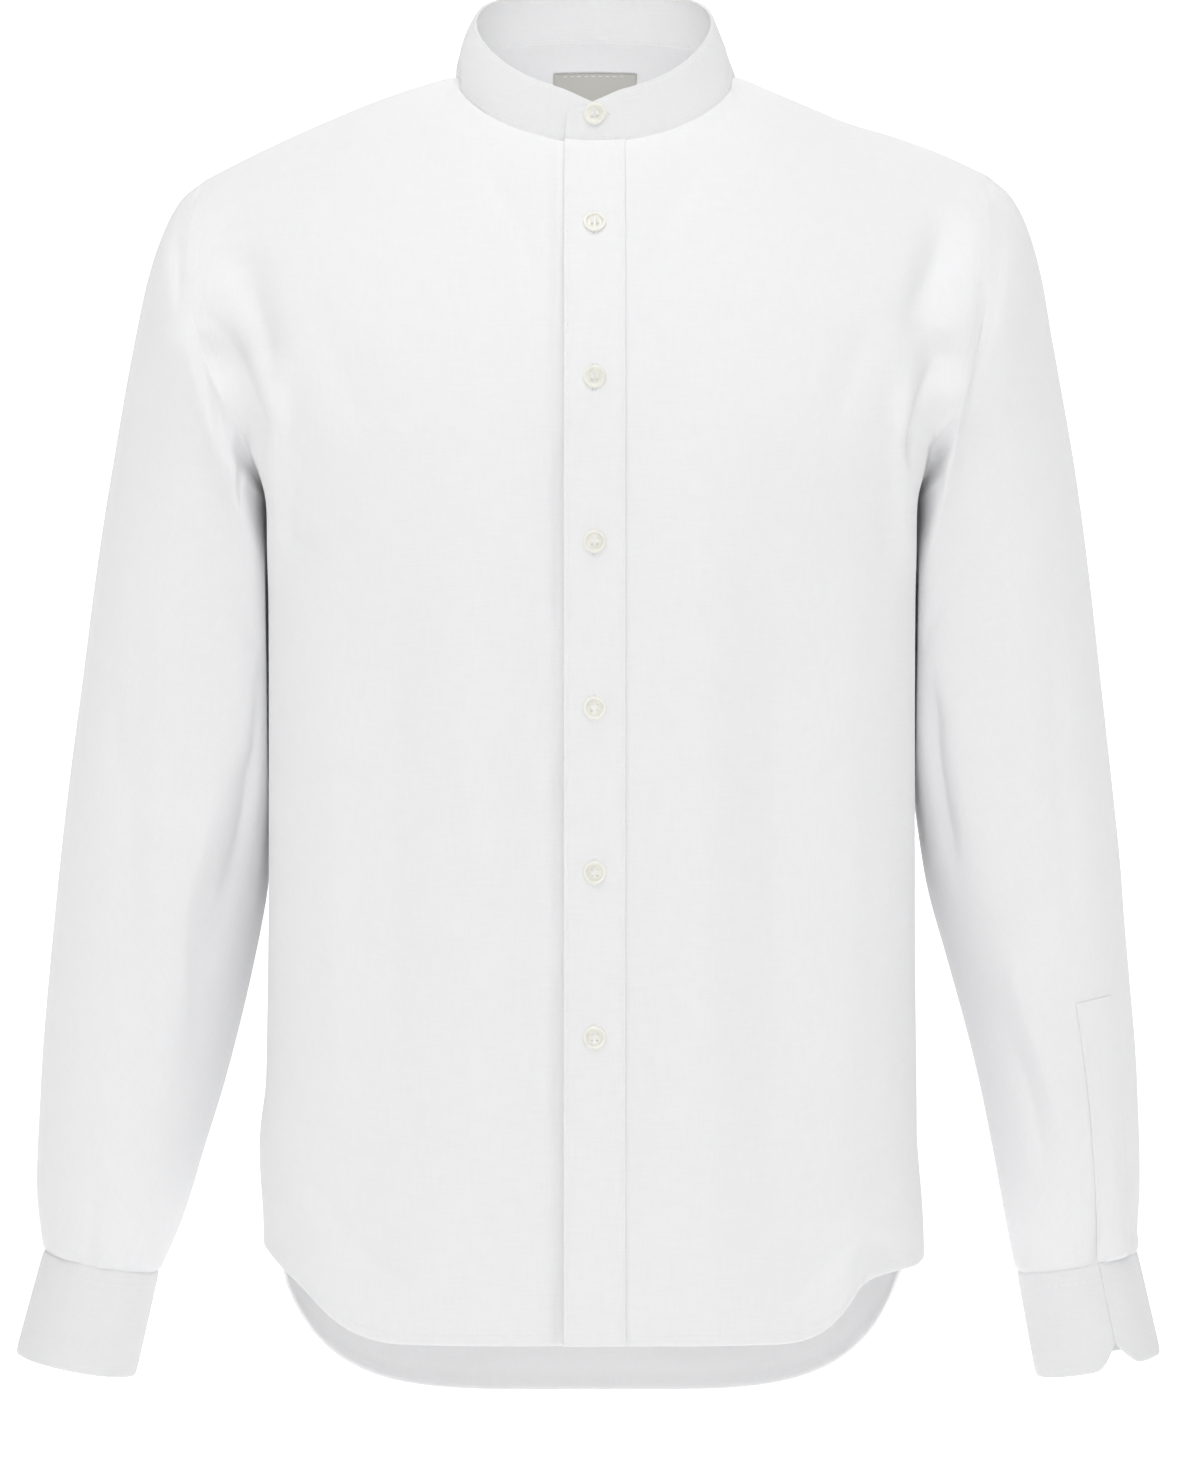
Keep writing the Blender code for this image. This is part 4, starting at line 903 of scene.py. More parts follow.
def turned_up(front, side):
    """A front whose hem has flipped up a little near the side seam."""
    place, inner, outer, rise, height = HEM_FLIPS[side]
    up = run_length(front[..., :3], 1)
    beside = front[:, :1, 0] - place
    half_width = np.where(beside * SIGN[side] < 0, inner, outer)
    share = np.exp(-(beside / half_width) ** 2) * ease(1 - up / height) ** 0.7
    front[..., 2] += rise * share
    # the cloth that has gone up bulges outwards halfway
    front[..., :3] += front[..., 3:6] * (0.25 * rise * np.sin(math.pi * share))[..., None]
    return front


def squared(front):
    """A front that stands forward beside the armpit, so no hollow shows between body and sleeve."""
    x, y, z = np.abs(front[..., 0]), front[..., 1], front[..., 2]
    share = ease((x - ARMPIT_FROM[0]) / ARMPIT_FROM[1]) * ease((ARMPIT_FACE[0] - y) / ARMPIT_FACE[1])
    share *= ease((ARMPIT_TOP - z) / ARMPIT_FADE) * ease((z - ARMPIT_FOOT) / ARMPIT_FADE)
    front[..., 1] -= ARMPIT_FILL * share
    return front


def pressed(front):
    """The under front, sunk beside the strip's edge, unevenly down its length."""
    x, z = front[..., 0], front[..., 2]
    depth, width = STRIP_SHADE
    # waves of about 145 and 57 mm down the strip
    dip = depth * (1 + 0.35 * np.sin(z / 0.023) + 0.25 * np.sin(z / 0.009 + 1))
    dip = dip * np.exp(-((x - PLACKET_EDGES[0] + width) / width) ** 2)
    front[..., :3] -= front[..., 3:6] * dip[..., None]
    return front


def filled(sleeve, side):
    """A sleeve whose inner front quarter is pressed square against the body, armpit to elbow."""
    turn = np.arange(len(sleeve)) / len(sleeve) * 2 * math.pi
    rows = SLEEVE.keys[-1] * (spread(ALONG_FINE) / SLEEVE_ROWS) ** SLEEVE_ROW_POWER
    press = ease((rows - PRESSED_ROWS[0]) / PRESSED_FADES[0])
    press = press * ease((PRESSED_ROWS[1] - rows) / PRESSED_FADES[1])
    quarter = turn < math.pi / 2
    cosine, sine = np.cos(turn[quarter]), np.sin(turn[quarter])
    for j in np.flatnonzero(press > 0):
        power = 2 / (2 + SLEEVE_SQUARE * press[j])
        inner, outer = (oval_point(SLEEVE, side, rows[j], t) for t in (0.0, math.pi))
        points = sleeve[quarter, j, :3]
        points += np.array(inner - outer) / 2 * (cosine ** power - cosine)[:, None]
        points[:, 1] -= SLEEVE.at("half_depth", rows[j]) * (sine ** power - sine)
        short = body_half_widths(side, points) + SLEEVE_CLEAR - np.abs(points[:, 0])
        points[:, 0] += np.sign(points[:, 0]) * np.maximum(short, 0) * press[j]
        sleeve[quarter, j, :3] = points
    steps = np.roll(sleeve[..., :3], -1, axis=0) - np.roll(sleeve[..., :3], 1, axis=0)
    ways = unit(np.cross(steps, np.gradient(sleeve[..., :3], axis=1)))
    ways *= np.sign(np.sum(ways * sleeve[..., 3:6], axis=-1, keepdims=True))
    near = ease(4 - np.abs(turn - math.pi / 4) / (math.pi / 16))[:, None, None]
    share = near * ease(4 * press)[:, None]
    sleeve[..., 3:6] = unit(sleeve[..., 3:6] * (1 - share) + ways * share)
    return sleeve


def body_half_widths(side, points):
    """Half width of the body, at the level of a ring's points and at each one's depth."""
    z = min(points[:, 2].max(), UNDERARM_Z)
    off = points[:, 1] - WIDEST_Y
    share = np.where(off < 0, np.abs(off / (WIDEST_Y - BODY.at("front", z))) ** FRONT_SQUARE,
                     np.abs(off / (BODY.at("back", z) - WIDEST_Y)) ** BACK_SQUARE)
    return BODY.at(side, z) * (1 - np.minimum(share, 1)) ** BODY_ROUND


def tucked(sleeve, side):
    """A sleeve whose end draws in under the cuff's top edge, and stands out with the cuff's lap."""
    begin, end, fade = LAP_STEP
    past = (np.arange(len(sleeve)) / len(sleeve) * 360 - 90 - CUFF_END_ANGLE[side]) % 360
    stand = (ease(past / begin) * ease((end - past) / fade))[:, None]
    above = height_above(sleeve[..., :3])
    last = sleeve[:, -1:].copy()
    down = unit(last[..., :3] - sleeve[:, -3:-2, :3])
    out = (BAND_CLOTH + SEAM_GAP) * stand * ease(1 - above / LAP_LENGTH)
    sleeve[..., :3] += sleeve[..., 3:6] * (out - TUCK_DEPTH * ease(1 - above / TUCK_LENGTH))[..., None]
    rings = [sleeve]
    for n in range(1, TUCK_RINGS + 1):
        ring = last.copy()
        ring[..., :3] += down * TUCK_STEP * n + ring[..., 3:6] * (out[:, -1:] - TUCK_DEPTH)[..., None]
        rings.append(ring)
    return np.concatenate(rings, axis=1)


def height_above(points):
    """How far above the end of its line each point of a sleeve is."""
    run = run_length(points, 1)
    return run[:, -1:] - run


def gathers(sleeve, side):
    """Height of the pleats and gathers that the cuff holds."""
    points = sleeve[..., :3]
    above = height_above(points)
    turn = (np.arange(len(points)) / len(points) * 360)[:, None]
    around = run_length(np.concatenate([points, points[:1]]), 0)[-1]
    total = np.zeros(above.shape)
    for degrees, length, height, half_width in GATHERS[side]:
        off = ((turn - degrees + 180) % 360 - 180) / 360 * around
        wander = 0.003 * np.sin(above / 0.02 + degrees)
        fade = ease(1 - above / (length / 1000)) * ease(above / 0.004 + 0.35)
        total += height / 1000 * np.exp(-((off + wander) / (half_width / 1000)) ** 2) * fade
    return total


# ---- shells ----------------------------------------------------------------------------------
SHARP_FROM = math.radians(70)           # a shell's rims stay crisp


def round_over(cloth, edge):
    """Give a free edge a rounded rim, which ends where the edge was."""
    lines = edge_of(cloth, edge)[::-1]
    last, before = lines[-1], lines[-2]
    outer, inner = last[:, :3], last[:, 3:6]
    middle, half = (outer + inner) / 2, (outer - inner) / 2
    radius = np.linalg.norm(half, axis=1, keepdims=True)
    back = (before[:, :3] + before[:, 3:6]) / 2 - middle
    room = np.linalg.norm(back, axis=1, keepdims=True)
    back = unit(back)
    support = last + (before - last) * np.minimum(0.6, 2.2 * radius / room)
    rim, cap = last.copy(), last.copy()
    rim[:, :6] += np.tile(back * np.minimum(0.87 * radius, 0.3 * room), 2)
    cap[:, :3], cap[:, 3:6] = middle + half / 2, middle - half / 2
    lines = np.concatenate([lines[:-1], [support, rim, cap]])
    lines = lines[::-1] if edge in ("first", "low") else lines
    return lines.swapaxes(0, 1) if edge in ("low", "high") else lines


def grid_faces(columns, rows, wrap):
    i, j = np.meshgrid(np.arange(columns if wrap else columns - 1), np.arange(rows - 1),
                       indexing="ij")
    a, b = i * rows + j, (i + 1) % columns * rows + j
    return np.stack([a, b, b + 1, a + 1], axis=-1).reshape(-1, 4)


def rims(columns, rows, wrap):
    """Loops round a grid's edges, in the order in which its faces run."""
    low, high = [i * rows for i in range(columns)], [i * rows + rows - 1 for i in range(columns)]
    if wrap:
        return [low + low[:1], high[::-1] + high[-1:]]
    first, last = list(range(rows)), [(columns - 1) * rows + j for j in range(rows)]
    return [low + last[1:] + high[-2::-1] + first[-2::-1]]


def add_mesh(name, points, faces, material, sharp_from=None):
    """A smooth mesh object, with sharp edges where faces meet at more than an angle."""
    mesh = bpy.data.meshes.new(name)
    mesh.from_pydata(points, [], faces)
    mesh.materials.append(material)
    mesh.shade_smooth()
    if sharp_from is not None:
        mesh.set_sharp_from_angle(angle=sharp_from)
    piece = bpy.data.objects.new(name, mesh)
    bpy.context.scene.collection.objects.link(piece)
    return piece


def shell(name, shape, thickness, material, lift=0.0, rounded=(), seams=(), wrap=False):
    """A thin closed shell: an outer skin, an inner skin behind it, and the rims between them."""
    points, ways, stretch, flat = np.split(shape, (3, 6, 7), axis=-1)
    lift = np.broadcast_to(lift, shape.shape[:2])[..., None]
    thickness = np.broadcast_to(thickness, shape.shape[:2])[..., None]
    beside = np.ones_like(stretch)
    for edge in seams:
        lines = edge_of(beside, edge)
        lines[:] = np.minimum(lines, run_length(edge_of(points, edge), 0)[..., None])
    cloth = np.concatenate([points + ways * lift * stretch,
                            points + ways * (lift - thickness) * stretch, flat, beside], axis=-1)
    for edge in rounded:
        cloth = round_over(cloth, edge)
    columns, rows = cloth.shape[:2]
    skin = cloth.reshape(-1, cloth.shape[-1])
    faces = [grid_faces(columns, rows, wrap)]
    faces.append(faces[0][:, ::-1] + len(skin))
    for loop in rims(columns, rows, wrap):
        p, q = np.array(loop[:-1]), np.array(loop[1:])
        faces.append(np.stack([q, p, p + len(skin), q + len(skin)], axis=-1))
    faces = np.concatenate(faces)
    if faces_inwards(cloth):
        faces = faces[:, ::-1]
    points = np.concatenate([skin[:, :3], skin[:, 3:6]])
    piece = add_mesh(name, points.tolist(), faces.tolist(), material, SHARP_FROM)
    mesh = piece.data
    corners = np.empty(len(mesh.loops), np.int32)
    mesh.loops.foreach_get("vertex_index", corners)
    both = np.concatenate([skin, skin]).astype(np.float32)
    mesh.uv_layers.new(name="flat").data.foreach_set("uv", both[corners][:, 6:8].ravel())
    mesh.attributes.new("seam", "FLOAT", "POINT").data.foreach_set("value", both[:, 8].copy())
    return piece


def faces_inwards(cloth):
    """Whether a grid's faces, taken in order, would turn their backs to the outside."""
    i, j = cloth.shape[0] // 2, cloth.shape[1] // 2
    middle = cloth[i, j]
    a, b = cloth[i + 1, j, :3] - middle[:3], cloth[i, j + 1, :3] - middle[:3]
    return np.dot(np.cross(a, b), middle[:3] - middle[3:6]) < 0


# ---- sewing ----------------------------------------------------------------------------------
# Distances of the stitching from the edge or the seam beside it.
SEAM_STITCH = 0.0020       # side, shoulder and yoke seams
ARMHOLE_STITCH = 0.0065
BAND_STITCH = 0.0022       # along the collar's seam and round the cuffs
BAND_TOP_STITCH = 0.0025
CUFF_TURN_STITCH = 0.0085  # holds the cuff's turned edge, below its seam
SLEEVE_STRIP_STITCH = 0.0018
LABEL_STITCH = 0.0015


def inset_line(shape, edge, distance, span=slice(None), lift=0.0):
    """Points and ways out along a line at a distance inside one of a grid's edges."""
    lines = edge_of(shape, edge)[:, span]
    depth = run_length(lines[..., :3], 0)
    found = []
    for n in range(lines.shape[1]):
        found.append([np.interp(distance, depth[:, n], lines[:, n, k]) for k in range(7)])
    found = np.array(found)
    return found[:, :3] + found[:, 3:6] * lift * found[:, 6:7], unit(found[:, 3:6])


def stitches(lines, width=0.00045, length=0.0029, gap=0.0011):
    """Points and faces of the stitches along lines, each a spindle of thread half sunk in.

    Drawn at about twice a thread's true width, which would be lost between pixels.
    """
    starts, ends, ups = [], [], []
    for points, ways in lines:
        run = run_length(points, 0)
        begins = np.arange(gap / 2, run[-1] - length, length + gap)
        starts.append(read_along(begins, run, points))
        ends.append(read_along(begins + length, run, points))
        ups.append(read_along(begins, run, ways))
    start, end, up = np.concatenate(starts), np.concatenate(ends), unit(np.concatenate(ups))
    along = end - start
    side = unit(np.cross(along, up))
    sides = 5
    turns = np.arange(sides) / sides * 2 * math.pi
    around = (side[:, None] * np.cos(turns)[:, None] * width / 2
              + up[:, None] * np.sin(turns)[:, None] * width * 0.36)
    neck, last_neck = (start[:, None] + along[:, None] * t + up[:, None] * width * 0.12
                       + around * 0.8 for t in (0.14, 0.86))
    middle = (start + end)[:, None] / 2 + up[:, None] * width * 0.2 + around
    tips = [(place - up * width * 0.3)[:, None] for place in (start, end)]
    points = np.concatenate([neck, middle, last_neck] + tips, axis=1)
    first_tip, last_tip = 3 * sides, 3 * sides + 1
    faces = []
    for s in range(sides):
        t = (s + 1) % sides
        faces += [(k + s, k + t, k + t + sides, k + s + sides) for k in (0, sides)]
        faces += [(first_tip, t, s), (last_tip, 2 * sides + s, 2 * sides + t)]
    return points, faces


def read_along(places, run, values):
    """Vectors at places along a line, from those at its points."""
    return np.stack([np.interp(places, run, values[:, k]) for k in range(3)], axis=-1)


def sew(name, lines, **sizes):
    """One object with all the stitches along some lines."""
    points, faces = stitches(lines, **sizes)
    count, each = points.shape[:2]
    every = [[i + n * each for i in face] for n in range(count) for face in faces]
    piece = add_mesh(name, points.reshape(-1, 3).tolist(), every, finish(THREAD))
    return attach(piece, "root")


def colour(code):
    """A colour written as sRGB hex, as linear red, green, blue and alpha."""
    values = [int(code[i:i + 2], 16) / 255 for i in (1, 3, 5)]
    return tuple(v / 12.92 if v <= 0.04045 else ((v + 0.055) / 1.055) ** 2.4 for v in values) + (1.0,)


# ---- settings --------------------------------------------------------------------------------
def measure(name, text, value):
    return FloatProperty(name=name, description=text, default=value, subtype="DISTANCE",
                         unit="LENGTH")


def shown_colour(name, text, value):
    return FloatVectorProperty(name=name, description=text, default=colour(value), size=4,
                               subtype="COLOR", min=0, max=1)


class ShirtCloth(bpy.types.PropertyGroup):
    wall: measure("Wall", "Thickness of a panel's shell", CLOTH)
    band_wall: measure("Band wall", "Thickness of the collar and cuffs", BAND_CLOTH)
    strip_wall: measure("Strip wall", "Thickness of the buttoning strip", CLOTH)
    pressed_wall: measure("Pressed wall", "Thickness of a sleeve's pressed strip", PRESSED_CLOTH)
    hem_depth: measure("Hem depth", "Depth of the turned hem", 0.0056)
    edge_stitch: measure("Edge stitch", "Stitching from the buttoning strip's edges", 0.0020)


class ShirtButtons(bpy.types.PropertyGroup):
    radius: measure("Radius", "Radius of a front button", BUTTON_RADIUS)
    cuff_radius: measure("Cuff radius", "Radius of a cuff button", CUFF_BUTTON_RADIUS)
    depth: measure("Depth", "Thickness of a button", BUTTON_THICKNESS)
    hole: measure("Hole", "Radius of a thread hole", 0.0008)
    hole_spread: measure("Hole spread", "Distance of a hole from the middle", 0.0020)


class ShirtColours(bpy.types.PropertyGroup):
    cloth: shown_colour("Cloth", "Colour of the shirting", "#F2F2F3")
    band: shown_colour("Bands", "Colour of the doubled collar and cuffs", "#ECECED")
    thread: shown_colour("Thread", "Colour of the sewing thread", "#F4F4F1")
    button: shown_colour("Button", "Colour of the buttons", "#F0EFE6")
    label: shown_colour("Label", "Colour of the label's tape", "#BFBEB8")
    floor: shown_colour("Floor", "Colour of the studio floor", "#F4F4F4")


class ShirtStage(bpy.types.PropertyGroup):
    radius: measure("Radius", "Radius of the round studio floor", 5.5)
    floor_level: measure("Floor level", "Height of the floor under the wearer's feet", -1.45)
    camera_distance: measure("Camera distance", "Camera to the middle of the shirt", 3.0)
    camera_height: measure("Camera height", "Level of the camera", -0.354)
    lens: FloatProperty(name="Lens", description="Focal length", default=88.245,
                        subtype="DISTANCE_CAMERA")
    wall_glow: FloatProperty(name="Wall glow", description="Light given off by the paper wall",
                             default=0.57)
    floor_glow: FloatProperty(name="Floor glow", description="Light given off by the paper floor",
                              default=1.12)


SETTINGS = {"shirt_cloth": ShirtCloth, "shirt_buttons": ShirtButtons,
            "shirt_colours": ShirtColours, "shirt_stage": ShirtStage}


# ---- materials -------------------------------------------------------------------------------
POPLIN, FUSED_POPLIN = "washed cotton poplin", "washed cotton poplin, fused"
THREAD = "core-spun sewing thread"
BUTTON_RESIN = "cast polyester, tumbled"
TAPE = "woven satin tape"


def add(tree, kind, settings=None, **inputs):
    """A node with its settings; an input is a value or another node's output."""
    made = tree.nodes.new(kind)
    for key, value in (settings or {}).items():
        setattr(made, key, value)
    for key, value in inputs.items():
        socket = made.inputs[int(key[1:])] if key[0] == "_" else made.inputs[key.replace("_", " ")]
        if isinstance(value, bpy.types.NodeSocket):
            tree.links.new(value, socket)
        else:
            socket.default_value = value
    return made


def blank(name):
    made = bpy.data.materials.new(name)
    made.use_nodes = True
    tree = made.node_tree
    tree.nodes.clear()
    return made, tree


def finish_with(tree, shader):
    out = add(tree, "ShaderNodeOutputMaterial")
    tree.links.new(shader.outputs[0], out.inputs["Surface"])


def washed_cotton_poplin(name, tint):
    """Washed plain-weave cotton shirting, garment-washed after sewing.

    Yarns run along and across each piece with slight slubs, the cloth is softly crumpled, and the
    washing has puckered it beside its seams, so a seam reads as a row of small soft dimples.
    """
    made, tree = blank(name)
    flat = add(tree, "ShaderNodeUVMap", {"uv_map": "flat"}).outputs[0]
    place = add(tree, "ShaderNodeTexCoord").outputs["Object"]

    # A yarn is about 0.3 mm, too fine for the picture, so slubs are drawn at 1.1 by 16 mm.
    def yarns(scale, seed):
        stretched = add(tree, "ShaderNodeMapping", Vector=flat, Scale=scale, Location=(seed, 0, 0))
        return add(tree, "ShaderNodeTexNoise", Vector=stretched.outputs[0], Scale=1.0, Detail=2.0,
                   Roughness=0.6).outputs["Fac"]

    weave = add(tree, "ShaderNodeMath", {"operation": "ADD"}, _0=yarns((900, 62, 1), 3.0),
                _1=yarns((62, 900, 1), 7.0)).outputs[0]
    # Soft crumples are about 40 mm across, and the dimples beside a seam about 7 mm.
    crumple = add(tree, "ShaderNodeTexNoise", Vector=place, Scale=26.0, Detail=3.0,
                  Roughness=0.5).outputs["Fac"]
    pucker = add(tree, "ShaderNodeTexNoise", Vector=place, Scale=150.0, Detail=1.0).outputs["Fac"]
    beside = add(tree, "ShaderNodeAttribute", {"attribute_name": "seam"}).outputs["Fac"]
    near = add(tree, "ShaderNodeMapRange", {"interpolation_type": "SMOOTHSTEP"}, Value=beside,
               From_Min=0.0, From_Max=0.012, To_Min=1.0, To_Max=0.0).outputs[0]
    dimples = add(tree, "ShaderNodeMath", {"operation": "MULTIPLY"}, _0=pucker, _1=near).outputs[0]
    height = 0.0
    for part, depth in ((weave, 0.00004), (crumple, 0.0011), (dimples, 0.0006)):
        height = add(tree, "ShaderNodeMath", {"operation": "MULTIPLY_ADD"}, _0=part, _1=depth,
                     _2=height).outputs[0]
    bump = add(tree, "ShaderNodeBump", Strength=1.0, Distance=1.0, Height=height).outputs[0]
    tone = add(tree, "ShaderNodeMapRange", Value=weave, From_Min=0.7, From_Max=1.3, To_Min=0.98,
               To_Max=1.01).outputs[0]
    base = add(tree, "ShaderNodeVectorMath", {"operation": "SCALE"}, _0=tint[:3], Scale=tone).outputs[0]
    shader = add(tree, "ShaderNodeBsdfPrincipled", Base_Color=base, Roughness=0.88,
                 Specular_IOR_Level=0.25, Sheen_Weight=0.08, Sheen_Roughness=0.5, Normal=bump)
    finish_with(tree, shader)
    return made


def core_spun_thread(name, tint):
    """Core-spun polyester sewing thread, twisted, with a slight lustre."""
    made, tree = blank(name)
    place = add(tree, "ShaderNodeTexCoord").outputs["Object"]
    fuzz = add(tree, "ShaderNodeTexNoise", Vector=place, Scale=900.0, Detail=1.0).outputs["Fac"]
    bump = add(tree, "ShaderNodeBump", Strength=0.3, Distance=0.0001, Height=fuzz).outputs[0]
    shader = add(tree, "ShaderNodeBsdfPrincipled", Base_Color=tint, Roughness=0.62, Sheen_Weight=0.1,
                 Normal=bump)
    finish_with(tree, shader)
    return made


def cast_polyester_button(name, tint):
    """Cast polyester, tumbled to a soft polish: faint cloudy layers under a smooth face."""
    made, tree = blank(name)
    place = add(tree, "ShaderNodeTexCoord").outputs["Object"]
    cloud = add(tree, "ShaderNodeTexNoise", Vector=place, Scale=160.0, Detail=3.0).outputs["Fac"]
    tone = add(tree, "ShaderNodeMapRange", Value=cloud, From_Min=0.3, From_Max=0.7, To_Min=0.95,
               To_Max=1.03).outputs[0]
    base = add(tree, "ShaderNodeVectorMath", {"operation": "SCALE"}, _0=tint[:3], Scale=tone).outputs[0]
    shader = add(tree, "ShaderNodeBsdfPrincipled", Base_Color=base, Roughness=0.28, Coat_Weight=0.25,
                 Coat_Roughness=0.12)
    finish_with(tree, shader)
    return made


def woven_tape_label(name, tint):
    """Close-woven satin tape, ribbed across: fine bars 1.2 mm apart, bare of any writing."""
    made, tree = blank(name)
    flat = add(tree, "ShaderNodeUVMap", {"uv_map": "flat"}).outputs[0]
    ribs = add(tree, "ShaderNodeTexWave", {"bands_direction": "Y"}, Vector=flat, Scale=265.0,
               Distortion=0.3).outputs["Fac"]
    bump = add(tree, "ShaderNodeBump", Strength=0.4, Distance=0.0001, Height=ribs).outputs[0]
    shader = add(tree, "ShaderNodeBsdfPrincipled", Base_Color=tint, Roughness=0.6, Sheen_Weight=0.15,
                 Normal=bump)
    finish_with(tree, shader)
    return made


def finish(name):
    """A material by name, made once."""
    colours = bpy.context.scene.shirt_colours
    makers = {
        POPLIN: (washed_cotton_poplin, colours.cloth),
        FUSED_POPLIN: (washed_cotton_poplin, colours.band),
        THREAD: (core_spun_thread, colours.thread),
        BUTTON_RESIN: (cast_polyester_button, colours.button),
        TAPE: (woven_tape_label, colours.label),
    }
    if name not in bpy.data.materials:
        make, tint = makers[name]
        make(name, tuple(tint))
    return bpy.data.materials[name]


# ---- pieces ----------------------------------------------------------------------------------
HEM_SWELL = 0.5            # a turned hem is this share thicker than one ply
HEM_STEP = 0.0015          # width of the step at its stitching
BAND_PUFF = 0.0003         # a band stands this much fuller between its stitched edges
CUFF_PUFF = 0.0004
CUFF_LAP_PRESS = 0.0011    # a cuff's lapping end is pressed thinner by this, over CUFF_LAP_FADE
CUFF_LAP_FADE = 0.012
STRIP_PUFF = 0.0003        # the strip stands fuller inside a groove at its stitching
STRIP_GROOVE = 0.0002


def cloth_piece(name, shape, wall, *, lift=0.0, rounded=(), seams=(), wrap=False,
                material=POPLIN):
    piece = shell(name + "_cloth", shape, wall, finish(material), lift, rounded, seams, wrap)
    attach(piece, "root")
    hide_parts(name)
    return piece


def hem_wall(shape, settings):
    """Wall of a panel, thicker where its hem is turned up."""
    up = run_length(shape[..., :3], 1)
    swell = HEM_SWELL * ease((settings.hem_depth + HEM_STEP - up) / HEM_STEP)
    return settings.wall * (1 + swell)


class SHIRT_OT_fronts(bpy.types.Operator):
    """Make the two fronts, each hung from its shoulder seam"""
    bl_idname = "shirt.fronts"
    bl_label = "Fronts"

    def execute(self, context):
        settings = context.scene.shirt_cloth
        for side in SIGN:
            name = side + "_front"
            shape = pattern()[name]
            piece = cloth_piece(name, shape, hem_wall(shape, settings), rounded=("low", "first"),
                                seams=("last", "high", "low"))
            hem = slice(STRIP_LINE if side == "left" else 0, -1)
            lines = [inset_line(shape, "low", settings.hem_depth, hem),
                     inset_line(shape, "last", SEAM_STITCH, slice(3, UNDERARM_LINE)),
                     inset_line(shape, "last", ARMHOLE_STITCH, slice(UNDERARM_LINE, -1))]
            thread = sew(name + "_stitches", lines)
        return {"FINISHED"}


class SHIRT_OT_back(bpy.types.Operator):
    """Make the back panel and the yoke that it hangs from"""
    bl_idname = "shirt.back"
    bl_label = "Back and yoke"

    def execute(self, context):
        settings = context.scene.shirt_cloth
        shape = pattern()["back"]
        piece = cloth_piece("back", shape, hem_wall(shape, settings), rounded=("low",),
                            seams=("first", "last", "low", "high"))
        chest = slice(UNDERARM_LINE, -1)
        lines = [inset_line(shape, "low", settings.hem_depth, slice(1, -1)),
                 inset_line(shape, "first", ARMHOLE_STITCH, chest),
                 inset_line(shape, "last", ARMHOLE_STITCH, chest)]
        thread = sew("back_stitches", lines)
        shape = pattern()["yoke"]
        piece = cloth_piece("yoke", shape, settings.wall, seams=("first", "last", "low", "high"))
        ends = SHOULDER_LINE + 1
        lines = [inset_line(shape, "low", SEAM_STITCH, slice(1, -1)),
                 inset_line(shape, "high", SEAM_STITCH, slice(1, ends)),
                 inset_line(shape, "high", SEAM_STITCH, slice(-ends, -1)),
                 inset_line(shape, "first", ARMHOLE_STITCH), inset_line(shape, "last", ARMHOLE_STITCH)]
        thread = sew("yoke_stitches", lines)
        return {"FINISHED"}


class SHIRT_OT_sleeves(bpy.types.Operator):
    """Make the two sleeves, each a tube set into its armhole and gathered into its cuff"""
    bl_idname = "shirt.sleeves"
    bl_label = "Sleeves"

    def execute(self, context):
        settings = context.scene.shirt_cloth
        for side in SIGN:
            shape = pattern()["sleeve_" + side]
            piece = cloth_piece("sleeve_" + side, shape, settings.wall, seams=("low", "high"), wrap=True)
        return {"FINISHED"}


class SHIRT_OT_collar(bpy.types.Operator):
    """Make the band collar, lapped at the front"""
    bl_idname = "shirt.collar"
    bl_label = "Collar"

    def execute(self, context):
        settings = context.scene.shirt_cloth
        shape = pattern()["collar"]
        up = run_length(shape[..., :3], 1)
        puff = BAND_PUFF * ease(np.minimum(up, up[:, -1:] - up) / 0.004)
        piece = cloth_piece("collar", shape, settings.band_wall, lift=puff,
                            rounded=("first", "last", "high"), seams=("low", "high"),
                            material=FUSED_POPLIN)
        inside = shape.copy()
        inside[..., :3] -= shape[..., 3:6] * settings.band_wall
        inside[..., 3:6] *= -1
        lines = [inset_line(face, edge, distance, slice(2, -2), lift)
                 for face, lift in ((shape, 0.0001), (inside, 0.0))
                 for edge, distance in (("low", BAND_STITCH), ("high", BAND_TOP_STITCH))]
        thread = sew("collar_stitches", lines)
        return {"FINISHED"}


class SHIRT_OT_strip(bpy.types.Operator):
    """Make the buttoning strip on the upper front"""
    bl_idname = "shirt.strip"
    bl_label = "Buttoning strip"

    def execute(self, context):
        settings = context.scene.shirt_cloth
        coarse = pattern()["left_front"][:STRIP_LINE + 1]
        # finer beside the two edges, where the groove runs
        places = np.concatenate([np.linspace(0, 0.1, 5)[:-1], np.linspace(0.1, 0.9, 15)[:-1],
                                 np.linspace(0.9, 1.0, 5)]) * STRIP_LINE
        shape = smooth_through(coarse, places)
        run = run_length(shape[..., :3], 0)
        inside = np.minimum(run, run[-1:] - run)
        groove = STRIP_GROOVE * np.exp(-((inside - settings.edge_stitch) / 0.0007) ** 2)
        over = SEAM_GAP + settings.strip_wall
        lift = over + STRIP_PUFF * ease(inside / 0.004) - groove
        piece = cloth_piece("placket", shape, lift - SEAM_GAP, lift=lift,
                            rounded=("first", "last", "low"), seams=("first", "last"))
        lines = [inset_line(shape, edge, settings.edge_stitch, slice(2, -2), over)
                 for edge in ("first", "last")]
        thread = sew("placket_stitches", lines)
        return {"FINISHED"}


